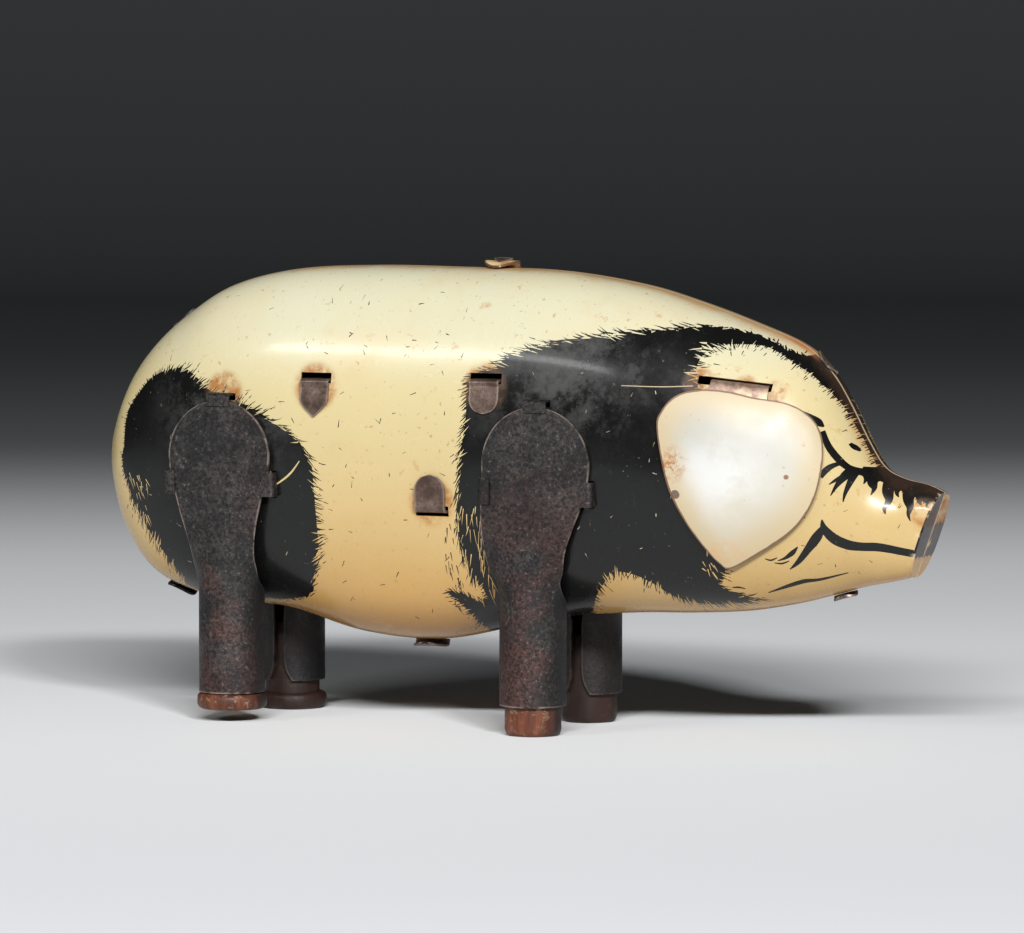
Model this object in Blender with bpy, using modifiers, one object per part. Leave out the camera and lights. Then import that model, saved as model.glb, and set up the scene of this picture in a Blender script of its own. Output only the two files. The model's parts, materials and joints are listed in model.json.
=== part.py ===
"""Clockwork walking pig in tinplate, as separate named parts. Metres, +Z up, nose towards +X, left side +Y.

The driving dimensions are in millimetres and the mesh helpers turn them into metres.
"""
import math

import bmesh
import bpy
from mathutils import Matrix, Vector

MM = 0.001
GAP = 0.3                    # least gap between neighbouring pieces
SHEET = 0.5                  # body, ears
LEG_SHEET = 0.6
RIGHT, LEFT = -1, 1          # sign of Y on each side
SEAM_Y = -6.25               # the seam plane stands off centre, as the key adds to the width on the left only

# Body outline, one station a row: the top and the bottom of the seam (x, z), half width, section exponent.
STATIONS = [
    ((-99.6, 61.8), (-99.6, 53.6), 3.6, 2.1),
    ((-98.0, 68.0), (-98.4, 48.5), 7.4, 2.1),
    ((-93.6, 77.4), (-95.0, 39.2), 12.0, 2.15),
    ((-87.6, 84.8), (-88.6, 31.4), 15.4, 2.2),
    ((-79.4, 91.4), (-79.0, 27.4), 18.2, 2.25),
    ((-69.0, 97.4), (-68.0, 25.7), 20.2, 2.3),
    ((-54.0, 101.0), (-54.0, 24.4), 21.3, 2.3),
    ((-34.5, 102.1), (-36.0, 19.8), 21.8, 2.3),
    ((-13.0, 102.0), (-16.0, 19.1), 22.0, 2.3),
    ((9.6, 101.6), (9.0, 24.6), 22.0, 2.3),
    ((29.0, 99.0), (29.0, 26.5), 21.9, 2.3),
    ((43.1, 95.3), (43.0, 27.0), 21.3, 2.25),
    ((57.2, 90.6), (56.0, 27.9), 19.8, 2.2),
    ((68.0, 86.2), (66.8, 29.8), 17.2, 2.1),
    ((74.3, 80.4), (73.4, 31.5), 15.0, 2.0),
    ((78.6, 73.8), (78.4, 32.9), 12.9, 1.95),
    ((83.0, 65.6), (82.2, 34.0), 10.9, 1.95),
    ((86.7, 60.2), (85.4, 34.7), 9.3, 2.0),
    ((91.4, 57.8), (88.4, 35.3), 7.7, 2.1),
    ((96.6, 56.7), (91.2, 35.9), 6.9, 2.3),
    ((100.0, 55.3), (93.4, 36.6), 6.2, 2.5),
]
REAR_TIP = (-100.0, 57.6)
CLOSE_STATIONS = 12          # from here on the stations are close enough for one loft ring each
RING_POINTS = 20

# Legs: a round pad against the side, below it the same sheet rolled into an open tube.
LEG_FACE = 23.0              # outer face of the pads, from the mid-plane
TUBE_R = 7.4
PAD_Z = 59.8
LEGS = {                     # pad centre x, tube centre x, pad radius
    "front": (13.6, 10.0, 12.8),
    "rear": (-63.4, -63.8, 12.4),
}
LEG_TAPER = {                # height, half width seen from the side and wrap angle, from the pad down to the tube
    "front": [(55.0, 12.5, 0.03), (50.0, 11.8, 0.06), (45.0, 10.7, 0.16), (40.5, 9.6, 0.42), (36.5, 8.8, 0.78)],
    "rear": [(55.0, 11.9, 0.03), (50.5, 10.6, 0.06), (46.6, 9.6, 0.14), (42.5, 8.6, 0.36), (38.0, 7.8, 0.70)],
}
LEG_ROLL = [(34.0, 7.7, 1.08), (31.5, 7.5, 1.42), (29.0, 7.4, 1.9), (27.0, 7.4, 2.35), (25.0, 7.4, 2.75),
            (23.0, 7.4, 2.96), (11.2, 7.4, 2.96), (6.6, 7.4, 2.72)]
TUBE_Y = LEG_FACE - TUBE_R
LEG_TABS = [(90.0, 0.0, None), (0.0, -6.0, 12.0), (180.0, -6.0, 12.0)]   # direction, height off the centre, reach
LEG_TAB_W = 5.4
LEG_TAB_DEPTH = 15.6         # how near the mid-plane their ends are bent over

# Feet: wooden plungers in the tubes, on wire stems.
FOOT_LIFT = 2.7
PEG_R = 6.25
FLANGE_R = 7.9
STEM_R = 1.2
PIN_R = 0.8
LIFTED = {("right", "rear"): FOOT_LIFT}

# Clockwork, between two plates fixed by tabs folded over on the body's sides.
PLATE_Y = (10.5, 11.5)
FIXING_TABS = [              # x, z of the slot, direction in which the tab is folded, width, length, tip
    (-40.4, 77.2, -1, 6.8, 8.0, "point"),
    (0.9, 78.0, -1, 7.0, 7.2, "round"),
    (-11.7, 49.6, 1, 7.2, 7.6, "round"),
]
MAIN = Vector((-6.0, 66.0))  # x, z of the winding arbor
CAM = Vector((-27.0, 55.0))  # x, z of the camshaft
GREAT_TEETH, GREAT_MODULE = 44, 0.65
SECOND_PINION, SECOND_TEETH, SECOND_MODULE = 10, 38, 0.55
CAM_PINION, CAM_TEETH, CAM_MODULE = 10, 32, 0.55
GOVERNOR_PINION = 8
ARBOR_R = 1.0
CAM_R, CAM_DIP = 4.6, 0.5
ROCKER_Y = (12.4, 13.2)
ROCKER_PIVOT_DX, ROCKER_PIVOT_Z = 6.9, 44.5

# Ears: a domed leaf that follows the cheek, with a neck through a slot.
EAR_OUTLINE = [                # side elevation, clockwise from the rear corner
    (42.2, 68.7), (43.1, 72.6), (46.1, 75.9), (51.2, 77.2), (57.1, 76.9), (62.6, 75.7), (69.6, 74.4),
    (73.9, 71.8), (76.4, 68.2), (77.4, 63.3), (76.9, 56.9), (74.9, 51.5), (70.9, 46.7), (64.4, 42.2),
    (57.4, 38.4), (55.2, 39.3), (52.4, 42.6), (48.1, 49.1), (44.6, 56.7),
]
EAR_CENTRE = (58.0, 60.5)
EAR_CLEARANCE = 0.9
EAR_DOME = 0.9
EAR_SLOT = (Vector((49.9, 17.8, 79.2)), Vector((65.6, 13.8, 77.5)))   # on the surface; y from the mid-plane
EAR_AXIS_DEPTH = 0.25

SEAM_TABS = {                # x on the seam, top or bottom edge, width
    "rump": (-83.0, "top", 7.0), "back": (-4.6, "top", 8.2), "forehead": (72.6, "top", 6.4),
    "tail": (-84.0, "bottom", 7.0), "belly": (-22.0, "bottom", 8.2), "chin": (77.0, "bottom", 5.6),
}


# ---------------------------------------------------------------- scene and mesh helpers

def clear_scene():
    for item in list(bpy.data.objects):
        bpy.data.objects.remove(item)


def collection(name):
    group = bpy.data.collections.new(name)
    bpy.context.scene.collection.children.link(group)
    return group


def material(name, colour, roughness, metallic):
    made = bpy.data.materials.new(name)
    made.use_nodes = True
    shader = made.node_tree.nodes["Principled BSDF"]
    shader.inputs["Base Color"].default_value = (*colour, 1.0)
    shader.inputs["Roughness"].default_value = roughness
    shader.inputs["Metallic"].default_value = metallic
    made.diffuse_color = (*colour, 1.0)
    return made


class Workshop:
    """Makes objects in the part's collection, and cutters in their own."""

    def __init__(self):
        self.parts = collection("tin_pig")
        self.cutters = collection("cutters")

    def part(self, name, bm, finish, pivot=None):
        return self._object(name, bm, self.parts, finish, pivot)

    def tool(self, name, bm):
        made = self._object(name, bm, self.cutters, None, None)
        made.hide_render = True
        made.display_type = "WIRE"
        return made

    def _object(self, name, bm, group, finish, pivot):
        """The mesh is modelled in place; a moving piece's origin is then put on its joint's axis."""
        origin = Vector(pivot or (0, 0, 0)) * MM
        bmesh.ops.translate(bm, verts=bm.verts, vec=-origin)
        bmesh.ops.recalc_face_normals(bm, faces=bm.faces)
        mesh = bpy.data.meshes.new(name)
        bm.to_mesh(mesh)
        bm.free()
        mesh.shade_smooth()
        mesh.set_sharp_from_angle(angle=math.radians(35))
        made = bpy.data.objects.new(name, mesh)
        made.location = origin
        group.objects.link(made)
        if finish:
            mesh.materials.append(finish)
        return made

    def combine(self, base, operation, bm):
        """A Boolean between a part and a shape in world position."""
        modifier = base.modifiers.new(operation.lower(), "BOOLEAN")
        modifier.solver = "EXACT"
        modifier.operation = operation
        modifier.object = self.tool(f"{base.name}_{operation.lower()}_{len(base.modifiers)}", bm)

    def cut(self, base, bm):
        self.combine(base, "DIFFERENCE", bm)

    def fuse(self, base, bm):
        self.combine(base, "UNION", bm)


def box(low, high, turn=None):
    """A box between two corners, in millimetres; turn is a rotation matrix about the box's centre."""
    low, high = Vector(low), Vector(high)
    bm = bmesh.new()
    bmesh.ops.create_cube(bm, size=1.0)
    size = high - low
    place = Matrix.Translation((low + high) / 2) @ (turn or Matrix()) @ Matrix.Diagonal((*size, 1.0))
    bmesh.ops.transform(bm, matrix=Matrix.Scale(MM, 4) @ place, verts=bm.verts)
    return bm


def rod(start, end, radius, sides=16, end_radius=None):
    """A round bar or cone between two points, in millimetres."""
    start, end = Vector(start), Vector(end)
    bm = bmesh.new()
    bmesh.ops.create_cone(bm, cap_ends=True, segments=sides, radius1=radius,
                          radius2=radius if end_radius is None else end_radius, depth=(end - start).length)
    turn = (end - start).to_track_quat("Z", "Y").to_matrix().to_4x4()
    place = Matrix.Translation((start + end) / 2) @ turn
    bmesh.ops.transform(bm, matrix=Matrix.Scale(MM, 4) @ place, verts=bm.verts)
    return bm


def plate(outline, y_low, y_high):
    """A flat piece parallel to the mid-plane from an outline in x and z."""
    bm = bmesh.new()
    ring = [bm.verts.new(Vector((x, y_low, z)) * MM) for x, z in outline]
    face = bm.faces.new(ring)
    moved = bmesh.ops.extrude_face_region(bm, geom=[face])["geom"]
    bmesh.ops.translate(bm, verts=[v for v in moved if isinstance(v, bmesh.types.BMVert)],
                        vec=(0, (y_high - y_low) * MM, 0))
    return bm


def turned(profile, axis_xy, sides=20):
    """A turned piece about a vertical axis: profile of (radius, z), from the bottom to the top."""
    bm = bmesh.new()
    rings = [[bm.verts.new(Vector((axis_xy[0] + r * math.cos(a), axis_xy[1] + r * math.sin(a), z)) * MM)
              for a in (2 * math.pi * k / sides for k in range(sides))] for r, z in profile]
    for lower, upper in zip(rings, rings[1:]):
        for k in range(sides):
            n = (k + 1) % sides
            bm.faces.new((lower[k], lower[n], upper[n], upper[k]))
    bm.faces.new(rings[0][::-1])
    bm.faces.new(rings[-1])
    return bm


def arc(centre, radius, start_deg, end_deg, count):
    cx, cz = centre
    angles = (math.radians(start_deg + (end_deg - start_deg) * k / (count - 1)) for k in range(count))
    return [(cx + radius * math.cos(a), cz + radius * math.sin(a)) for a in angles]


def smooth(values, t):
    """Catmull-Rom through equal-length tuples, t counted in stations."""
    k = min(int(t), len(values) - 2)
    f = t - k
    p0, p1, p2, p3 = (values[min(max(k + n, 0), len(values) - 1)] for n in (-1, 0, 1, 2))
    return tuple(0.5 * (2 * b + (c - a) * f + (2 * a - 5 * b + 4 * c - d) * f * f + (3 * b - a - 3 * c + d) * f ** 3)
                 for a, b, c, d in zip(p0, p1, p2, p3))


def smooth_outline(points, steps):
    """A closed Catmull-Rom outline with a number of steps to each stretch."""
    loop = [points[-1]] + points + points[:2]
    return [smooth(loop, 1 + k + s / steps) for k in range(len(points)) for s in range(steps)]


# ---------------------------------------------------------------- body

def body_ring(t):
    """One closed section of the body at station t."""
    rows = [(*top, *bottom, width, power) for top, bottom, width, power in STATIONS]
    top_x, top_z, bottom_x, bottom_z, width, power = smooth(rows, t)
    ring = []
    for k in range(RING_POINTS):
        angle = 2 * math.pi * k / RING_POINTS
        up = math.copysign(abs(math.cos(angle)) ** (2 / power), math.cos(angle))
        out = math.copysign(abs(math.sin(angle)) ** (2 / power), math.sin(angle))
        share = (1 + up) / 2
        ring.append(Vector((bottom_x + (top_x - bottom_x) * share, out * width,
                            bottom_z + (top_z - bottom_z) * share)) * MM)
    return ring


def body_surface():
    """The closed outer surface: a loft from the rear tip to the flat end of the snout."""
    bm = bmesh.new()
    places = [k / 2 for k in range(2 * CLOSE_STATIONS)] + list(range(CLOSE_STATIONS, len(STATIONS)))
    rings = [[bm.verts.new(p) for p in body_ring(t)] for t in places]
    for back, front in zip(rings, rings[1:]):
        for k in range(RING_POINTS):
            n = (k + 1) % RING_POINTS
            bm.faces.new((back[k], back[n], front[n], front[k]))
    top, bottom = Vector(STATIONS[-1][0]), Vector(STATIONS[-1][1])
    snout = (top + bottom) / 2
    for ring, centre in ((rings[0], Vector(REAR_TIP)), (rings[-1][::-1], snout)):
        tip = bm.verts.new(Vector((centre.x, 0, centre.y)) * MM)
        for k in range(RING_POINTS):
            bm.faces.new((tip, ring[(k + 1) % RING_POINTS], ring[k]))
    return bm


def seam_point(x, edge):
    """Height and slope of the seam at x, on its top or bottom edge."""
    pick = 0 if edge == "top" else 1
    samples = [smooth([row[pick] for row in STATIONS], t / 8) for t in range((len(STATIONS) - 1) * 8 + 1)]
    k = min(range(1, len(samples) - 1), key=lambda n: abs(samples[n][0] - x))
    before, here, after = samples[k - 1:k + 2]
    return Vector((here[0], here[1])), math.atan2(after[1] - before[1], after[0] - before[0])


def seam_frame(x, edge):
    """Local frame on the seam: X along it, Y across it, Z out of the body."""
    at, slope = seam_point(x, edge)
    up = 1 if edge == "top" else -1
    along = Vector((math.cos(slope), 0, math.sin(slope)))
    out = Vector((-along.z * up, 0, along.x * up))
    return Matrix(((along.x, 0, out.x, at.x), (0, 1, 0, 0), (along.z, 0, out.z, at.y), (0, 0, 0, 1)))


def in_frame(bm, frame):
    """Moves a shape modelled in metres at the origin into a frame given in millimetres."""
    bmesh.ops.transform(bm, matrix=Matrix.Scale(MM, 4) @ frame @ Matrix.Scale(1 / MM, 4), verts=bm.verts)
    return bm


def seam_tab(x, edge, width):
    """A round tab folded over the seam: a foot on the left half, the rounded tongue on the right half."""
    rows = [(2.4, 0.3, 0.8), (0.9, 0.7, 0.95), (-0.4, 1.4, 1.0), (-2.4, 1.0, 1.0), (-4.2, 0.4, 0.86),
            (-5.8, -0.3, 0.55), (-6.8, -0.8, 0.2)]
    bm = bmesh.new()
    sections = []
    for y, z, share in rows:
        half = width / 2 * share
        corners = ((-half, z), (half, z), (half, z + 0.6), (-half, z + 0.6))
        sections.append([bm.verts.new(Vector((px, y, pz)) * MM) for px, pz in corners])
    for back, front in zip(sections, sections[1:]):
        for c in range(4):
            n = (c + 1) % 4
            bm.faces.new((back[c], back[n], front[n], front[c]))
    bm.faces.new(sections[0][::-1])
    bm.faces.new(sections[-1])
    bmesh.ops.recalc_face_normals(bm, faces=bm.faces)
    in_frame(bm, seam_frame(x, edge))
    bmesh.ops.recalc_face_normals(bm, faces=bm.faces)
    return bm


def leg_tab_frame(side, leg, direction_deg, rise, reach):
    """A maker of boxes for one leg tab, whose u points away from the pad's centre, and the pad's edge there."""
    pad_x, _, pad_r = LEGS[leg]
    turn = Matrix.Rotation(-math.radians(direction_deg), 4, "Y")
    place = Matrix.Translation(Vector((pad_x, 0, PAD_Z + rise))) @ turn

    def piece(u_low, u_high, y_low, y_high, half):
        ys = sorted((side * y_low, side * y_high))
        return in_frame(box((u_low, ys[0], -half), (u_high, ys[1], half)), place)

    return piece, reach or pad_r


def make_shell(shop, side, finish):
    name = "right" if side == RIGHT else "left"
    shell = shop.part(f"{name}_body_shell", body_surface(), finish)
    wall = shell.modifiers.new("wall", "SOLIDIFY")
    wall.thickness = SHEET * MM
    wall.offset = -1
    far = 40
    half = (min(side * GAP / 2, side * far), max(side * GAP / 2, side * far))
    shop.combine(shell, "INTERSECT", box((-120, half[0], 0), (120, half[1], 120)))
    for x, z, fold, width, _, _ in FIXING_TABS:
        low, high = (z - 0.7, z + 1.9) if fold < 0 else (z - 1.9, z + 0.7)
        ys = sorted((side * 16, side * 26))
        shop.cut(shell, box((x - width / 2 - GAP, ys[0], low), (x + width / 2 + GAP, ys[1], high)))
    for leg, (_, tube_x, _) in LEGS.items():
        for tab in LEG_TABS:
            piece, edge = leg_tab_frame(side, leg, *tab)
            shop.cut(shell, piece(edge + 0.2, edge + 1.6, 15.0, 26.0, LEG_TAB_W / 2 + 0.35))
        shop.cut(shell, rod((tube_x, side * TUBE_Y, 26.0), (tube_x, side * TUBE_Y, 42.0), STEM_R + 0.8))
    shop.cut(shell, ear_slot_cutter(side))
    if side == LEFT:
        shop.cut(shell, rod((MAIN.x, 14, MAIN.y), (MAIN.x, 31, MAIN.y), 3.7, 18))
    return shell


# ---------------------------------------------------------------- legs and feet

def leg_rows(leg):
    """Rows of a leg's sheet from the top: height, half width, wrap angle, shift from pad to tube."""
    pad_r = LEGS[leg][2]
    arcs = (math.radians(a) for a in (16, 38, 64, 90))
    rows = [(PAD_Z + pad_r * math.cos(a), pad_r * math.sin(a), 0.02) for a in arcs] + LEG_TAPER[leg] + LEG_ROLL
    low, high = LEG_TAPER[leg][-1][0], PAD_Z
    return [(z, half, wrap, min(1.0, max(0.0, (high - z) / (high - low)))) for z, half, wrap in rows]


def leg_sheet(side, leg, columns=10):
    """The open sheet surface of a leg, outer face."""
    pad_x, tube_x, _ = LEGS[leg]
    bm = bmesh.new()
    grid = []
    for z, half, wrap, shift in leg_rows(leg):
        radius = half / math.sin(min(wrap, math.pi / 2))
        centre_x = pad_x + (tube_x - pad_x) * shift
        line = []
        for k in range(columns + 1):
            angle = wrap * (2 * k / columns - 1)
            y = LEG_FACE - radius * (1 - math.cos(angle))
            line.append(bm.verts.new(Vector((centre_x + radius * math.sin(angle), side * y, z)) * MM))
        grid.append(line)
    for upper, lower in zip(grid, grid[1:]):
        for k in range(columns):
            corners = (upper[k], lower[k], lower[k + 1], upper[k + 1])
            bm.faces.new(corners if side == RIGHT else corners[::-1])
    return bm


def make_leg(shop, side, leg, finish):
    name = f"{'right' if side == RIGHT else 'left'}_{leg}_leg"
    bm = leg_sheet(side, leg)
    mesh = bpy.data.meshes.new(name)
    bm.to_mesh(mesh)
    bm.free()
    mesh.shade_smooth()
    made = bpy.data.objects.new(name, mesh)
    shop.parts.objects.link(made)
    mesh.materials.append(finish)
    wall = made.modifiers.new("wall", "SOLIDIFY")
    wall.thickness = LEG_SHEET * MM
    wall.offset = -1
    half = LEG_TAB_W / 2
    inner = LEG_FACE - LEG_SHEET
    fold = LEG_TAB_DEPTH + 0.02
    for tab in LEG_TABS:
        piece, edge = leg_tab_frame(side, leg, *tab)
        shop.fuse(made, piece(edge - 1.2, edge + 1.2, inner + 0.05, LEG_FACE - 0.05, half))
        shop.fuse(made, piece(edge + 0.6, edge + 1.18, LEG_TAB_DEPTH, inner + 0.3, half - 0.02))
        shop.fuse(made, piece(edge + 0.62, edge + 2.6, fold, fold + LEG_SHEET, half - 0.04))
    return made


def make_foot(shop, side, leg, wood, wire):
    label = "right" if side == RIGHT else "left"
    _, x, _ = LEGS[leg]
    y = side * TUBE_Y
    lift = LIFTED.get((label, leg), 0.0)
    if leg == "front":
        profile = [(5.4, 0.0), (6.1, 0.35), (PEG_R, 1.1), (PEG_R, 19.4), (5.6, 20.0)]
    else:
        profile = [(6.3, 0.0), (7.5, 0.5), (FLANGE_R, 1.2), (FLANGE_R, 3.3), (7.4, 3.7), (PEG_R, 3.72),
                   (PEG_R, 19.4), (5.6, 20.0)]
    foot = shop.part(f"{label}_{leg}_foot", turned([(r, z + lift) for r, z in profile], (x, y)), wood, (x, y, lift))
    shop.cut(foot, rod((x, y, 12.0 + lift), (x, y, 22.0 + lift), STEM_R + 0.2, 12))
    pin_z = ROCKER_PIVOT_Z - FOOT_LIFT / 2 + lift
    stem = shop.part(f"{label}_{leg}_foot_stem", rod((x, y, 12.3 + lift), (x, y, pin_z + 1.6), STEM_R, 12), wire,
                     (x, y, lift))
    shop.fuse(stem, rod((x, y, pin_z), (x, side * (ROCKER_Y[0] - 0.4), pin_z), PIN_R, 10))


# ---------------------------------------------------------------- ears

def body_half_width(x, z):
    """Half width of the body at a point of its side elevation."""
    rows = [(*top, *bottom, width, power) for top, bottom, width, power in STATIONS]
    low, high = 0.0, len(rows) - 1.0
    for _ in range(24):
        middle = (low + high) / 2
        top_x, top_z, bottom_x, bottom_z, width, power = smooth(rows, middle)
        ahead = (x - bottom_x) * (top_z - bottom_z) - (z - bottom_z) * (top_x - bottom_x)
        low, high = (middle, high) if ahead > 0 else (low, middle)
    up = min(1.0, abs(2 * (z - bottom_z) / (top_z - bottom_z) - 1))
    return width * (1 - up ** power) ** (1 / power)


def ear_y(x, z, share):
    """Distance of the ear's inner face from the mid-plane; share runs from its centre to its edge."""
    return body_half_width(x, z) + EAR_CLEARANCE + EAR_DOME * (1 - share ** 2)


def slot_frame(side):
    """Frame on an ear's slot, X along it and Y level, across the surface; and the slot's length."""
    start, end = (Vector((p.x, side * p.y, p.z)) for p in EAR_SLOT)
    along = (end - start).normalized()
    across = Vector((0, 0, 1)).cross(along).normalized()
    up = along.cross(across)
    turn = Matrix((along, across, up)).transposed().to_4x4()
    return Matrix.Translation((start + end) / 2) @ turn, (end - start).length


def in_slot_frame(side, low, high, turn=None):
    """A box in the frame of an ear's slot, with y counted outwards."""
    frame, _ = slot_frame(side)
    ys = sorted((side * low[1], side * high[1]))
    return in_frame(box((low[0], ys[0], low[2]), (high[0], ys[1], high[2]), turn), frame)


def ear_slot_cutter(side):
    _, length = slot_frame(side)
    return in_slot_frame(side, (-length / 2, -4.0, -0.85), (length / 2, 4.0, 1.35))


def make_ear(shop, side, finish):
    name = f"{'right' if side == RIGHT else 'left'}_ear"
    outline = smooth_outline(EAR_OUTLINE, 2)
    bm = bmesh.new()
    rings = []
    for share in (0.35, 0.65, 0.86, 1.0):
        ring = []
        for px, pz in outline:
            x = EAR_CENTRE[0] + (px - EAR_CENTRE[0]) * share
            z = EAR_CENTRE[1] + (pz - EAR_CENTRE[1]) * share
            ring.append(bm.verts.new(Vector((x, side * ear_y(x, z, share), z)) * MM))
        rings.append(ring)
    count = len(outline)
    for inner, outer in zip(rings, rings[1:]):
        for k in range(count):
            n = (k + 1) % count
            corners = (inner[k], outer[k], outer[n], inner[n])
            bm.faces.new(corners[::-1] if side == RIGHT else corners)
    middle = bm.verts.new(Vector((EAR_CENTRE[0], side * ear_y(*EAR_CENTRE, 0), EAR_CENTRE[1])) * MM)
    for k in range(count):
        corners = (middle, rings[0][k], rings[0][(k + 1) % count])
        bm.faces.new(corners[::-1] if side == RIGHT else corners)
    frame, length = slot_frame(side)
    pivot = frame @ Vector((0, -side * EAR_AXIS_DEPTH, 0))
    bmesh.ops.translate(bm, verts=bm.verts, vec=-pivot * MM)
    mesh = bpy.data.meshes.new(name)
    bm.to_mesh(mesh)
    bm.free()
    mesh.shade_smooth()
    ear = bpy.data.objects.new(name, mesh)
    ear.location = pivot * MM
    shop.parts.objects.link(ear)
    mesh.materials.append(finish)
    wall = ear.modifiers.new("wall", "SOLIDIFY")
    wall.thickness = SHEET * MM
    wall.offset = 1
    neck = (-length / 2 + 3.0, length / 2 - 1.8)
    shop.fuse(ear, in_slot_frame(side, (neck[0], -5.0, -0.25), (neck[1], 1.4, 0.25)))
    shop.fuse(ear, in_slot_frame(side, (neck[0] + 0.05, -5.05, -2.2), (neck[1] - 0.05, -4.55, 0.2)))
    slant = Matrix.Rotation(side * math.radians(23), 4, "X")
    shop.fuse(ear, in_slot_frame(side, (neck[0] + 0.03, 1.6, -3.4), (neck[1] - 0.03, 2.1, 0.28), slant))
    return ear


# ---------------------------------------------------------------- clockwork

def gear_outline(centre, teeth, module, turn=0.0, fill=0.40):
    """Straight-flanked teeth, thinner than half a pitch so that a pair runs with clearance."""
    pitch_r = teeth * module / 2
    tip_r, root_r = pitch_r + 0.85 * module, pitch_r - 1.2 * module
    step = 2 * math.pi / teeth
    points = []
    for k in range(teeth):
        middle = turn + k * step
        for radius, share in ((root_r, -0.36), (tip_r, -fill / 4), (tip_r, fill / 4), (root_r, 0.36)):
            a = middle + share * step
            points.append((centre.x + radius * math.cos(a), centre.y + radius * math.sin(a)))
    return points


def mesh_turn(teeth_a, turn_a, teeth_b, bearing):
    """Turn of gear b that sets a tooth gap on the line of centres where gear a has a tooth."""
    phase_a = (bearing - turn_a) / (2 * math.pi / teeth_a)
    return bearing + math.pi + (phase_a % 1.0 + 0.5) * (2 * math.pi / teeth_b)


def second_centre():
    """The second arbor stands above the line from the main arbor to the camshaft."""
    first = GREAT_MODULE * (GREAT_TEETH + SECOND_PINION) / 2
    other = SECOND_MODULE * (SECOND_TEETH + CAM_PINION) / 2
    span = CAM - MAIN
    along = (first ** 2 - other ** 2 + span.length ** 2) / (2 * span.length)
    height = math.sqrt(first ** 2 - along ** 2)
    way = span.normalized()
    return MAIN + way * along + Vector((way.y, -way.x)) * height


def governor_centre():
    reach = CAM_MODULE * (CAM_TEETH + GOVERNOR_PINION) / 2
    return CAM + Vector((math.cos(math.radians(192)), math.sin(math.radians(192)))) * reach


def bearing(start, end):
    return math.atan2(end.y - start.y, end.x - start.x)


def along_y(at, low, high, radius, sides=14):
    return rod((at.x, low, at.y), (at.x, high, at.y), radius, sides)


def wheel(shop, name, at, teeth, module, turn, y_low, y_high, hole_r, finish):
    gear = shop.part(name, plate(gear_outline(at, teeth, module, turn), y_low, y_high), finish, (at.x, 0, at.y))
    shop.cut(gear, along_y(at, y_low - 2, y_high + 2, hole_r))
    return gear


def arbor(shop, name, at, reach, pinion, finish):
    """A shaft with its pinion; pinion is (teeth, module, turn, y_low, y_high)."""
    shaft = shop.part(name, along_y(at, -reach[0], reach[1], ARBOR_R, 12), finish, (at.x, 0, at.y))
    teeth, module, turn, y_low, y_high = pinion
    shop.fuse(shaft, plate(gear_outline(at, teeth, module, turn), y_low, y_high))
    return shaft


def cam_outline(at, dip_deg):
    """A round cam with one shallow dip, where the foot that it drives is lifted."""
    points = []
    for k in range(32):
        a = 2 * math.pi * k / 32
        off = (math.degrees(a) - dip_deg + 180) % 360 - 180
        drop = CAM_DIP * max(0.0, math.cos(math.radians(min(abs(off) * 1.6, 90)))) ** 0.5
        radius = CAM_R - drop
        points.append((at.x + radius * math.cos(a), at.y + radius * math.sin(a)))
    return points


def make_motor_plate(shop, side, finish):
    name = f"motor_plate_{'right' if side == RIGHT else 'left'}"
    outline = [(-45.5, 46.0), (-43.5, 44.0), (-39.0, 44.0), (-36.0, 41.0), (-18.0, 41.0), (-14.0, 45.0),
               (8.0, 50.5), (12.0, 54.0), (12.0, 77.0), (9.5, 79.5), (-41.0, 79.5), (-45.5, 75.0)]
    ys = sorted((side * PLATE_Y[0], side * PLATE_Y[1]))
    base = shop.part(name, plate(outline, *ys), finish)
    for x, z, fold, width, length, tip in FIXING_TABS:
        half = width / 2
        lug = sorted((side * (PLATE_Y[1] - 0.4), side * 22.9))
        shop.fuse(base, box((x - half, lug[0], z - 0.4), (x + half, lug[1], z + 0.4)))
        if tip == "point":
            end = [(half, length * 0.55), (half * 0.45, length * 0.93), (0.0, length), (-half * 0.45, length * 0.93),
                   (-half, length * 0.55)]
        else:
            end = arc((0, length - half), half, 0, 180, 9)
        flap = [(-half + 0.05, -0.38), (half - 0.05, -0.38)] + [(px * 0.985, pz) for px, pz in end]
        ys = sorted((side * 22.1, side * 22.8))
        shop.fuse(base, plate([(x + px, z + pz * fold) for px, pz in flap], *ys))
    for at in (MAIN, second_centre(), CAM, governor_centre()):
        hole = 2.1 if at is MAIN else ARBOR_R
        shop.cut(base, along_y(at, side * 9, side * 13, hole + GAP))
    return base


def make_mainspring(shop, finish):
    """A flat spiral strip between the arbor and its outer coil."""
    turns, steps = 5.0, 20
    inner, outer, thick = 2.9, 11.6, 0.5
    count = int(turns * steps) + 1
    bm = bmesh.new()
    sections = []
    for k in range(count):
        share = k / (count - 1)
        a = 2 * math.pi * turns * share
        radius = inner + (outer - inner) * share
        corners = []
        for r, y in ((radius, -4.8), (radius + thick, -4.8), (radius + thick, 2.8), (radius, 2.8)):
            corners.append(bm.verts.new(Vector((MAIN.x + r * math.cos(a), y, MAIN.y + r * math.sin(a))) * MM))
        sections.append(corners)
    for back, front in zip(sections, sections[1:]):
        for c in range(4):
            n = (c + 1) % 4
            bm.faces.new((back[c], back[n], front[n], front[c]))
    bm.faces.new(sections[0][::-1])
    bm.faces.new(sections[-1])
    return shop.part("mainspring", bm, finish)


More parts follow.
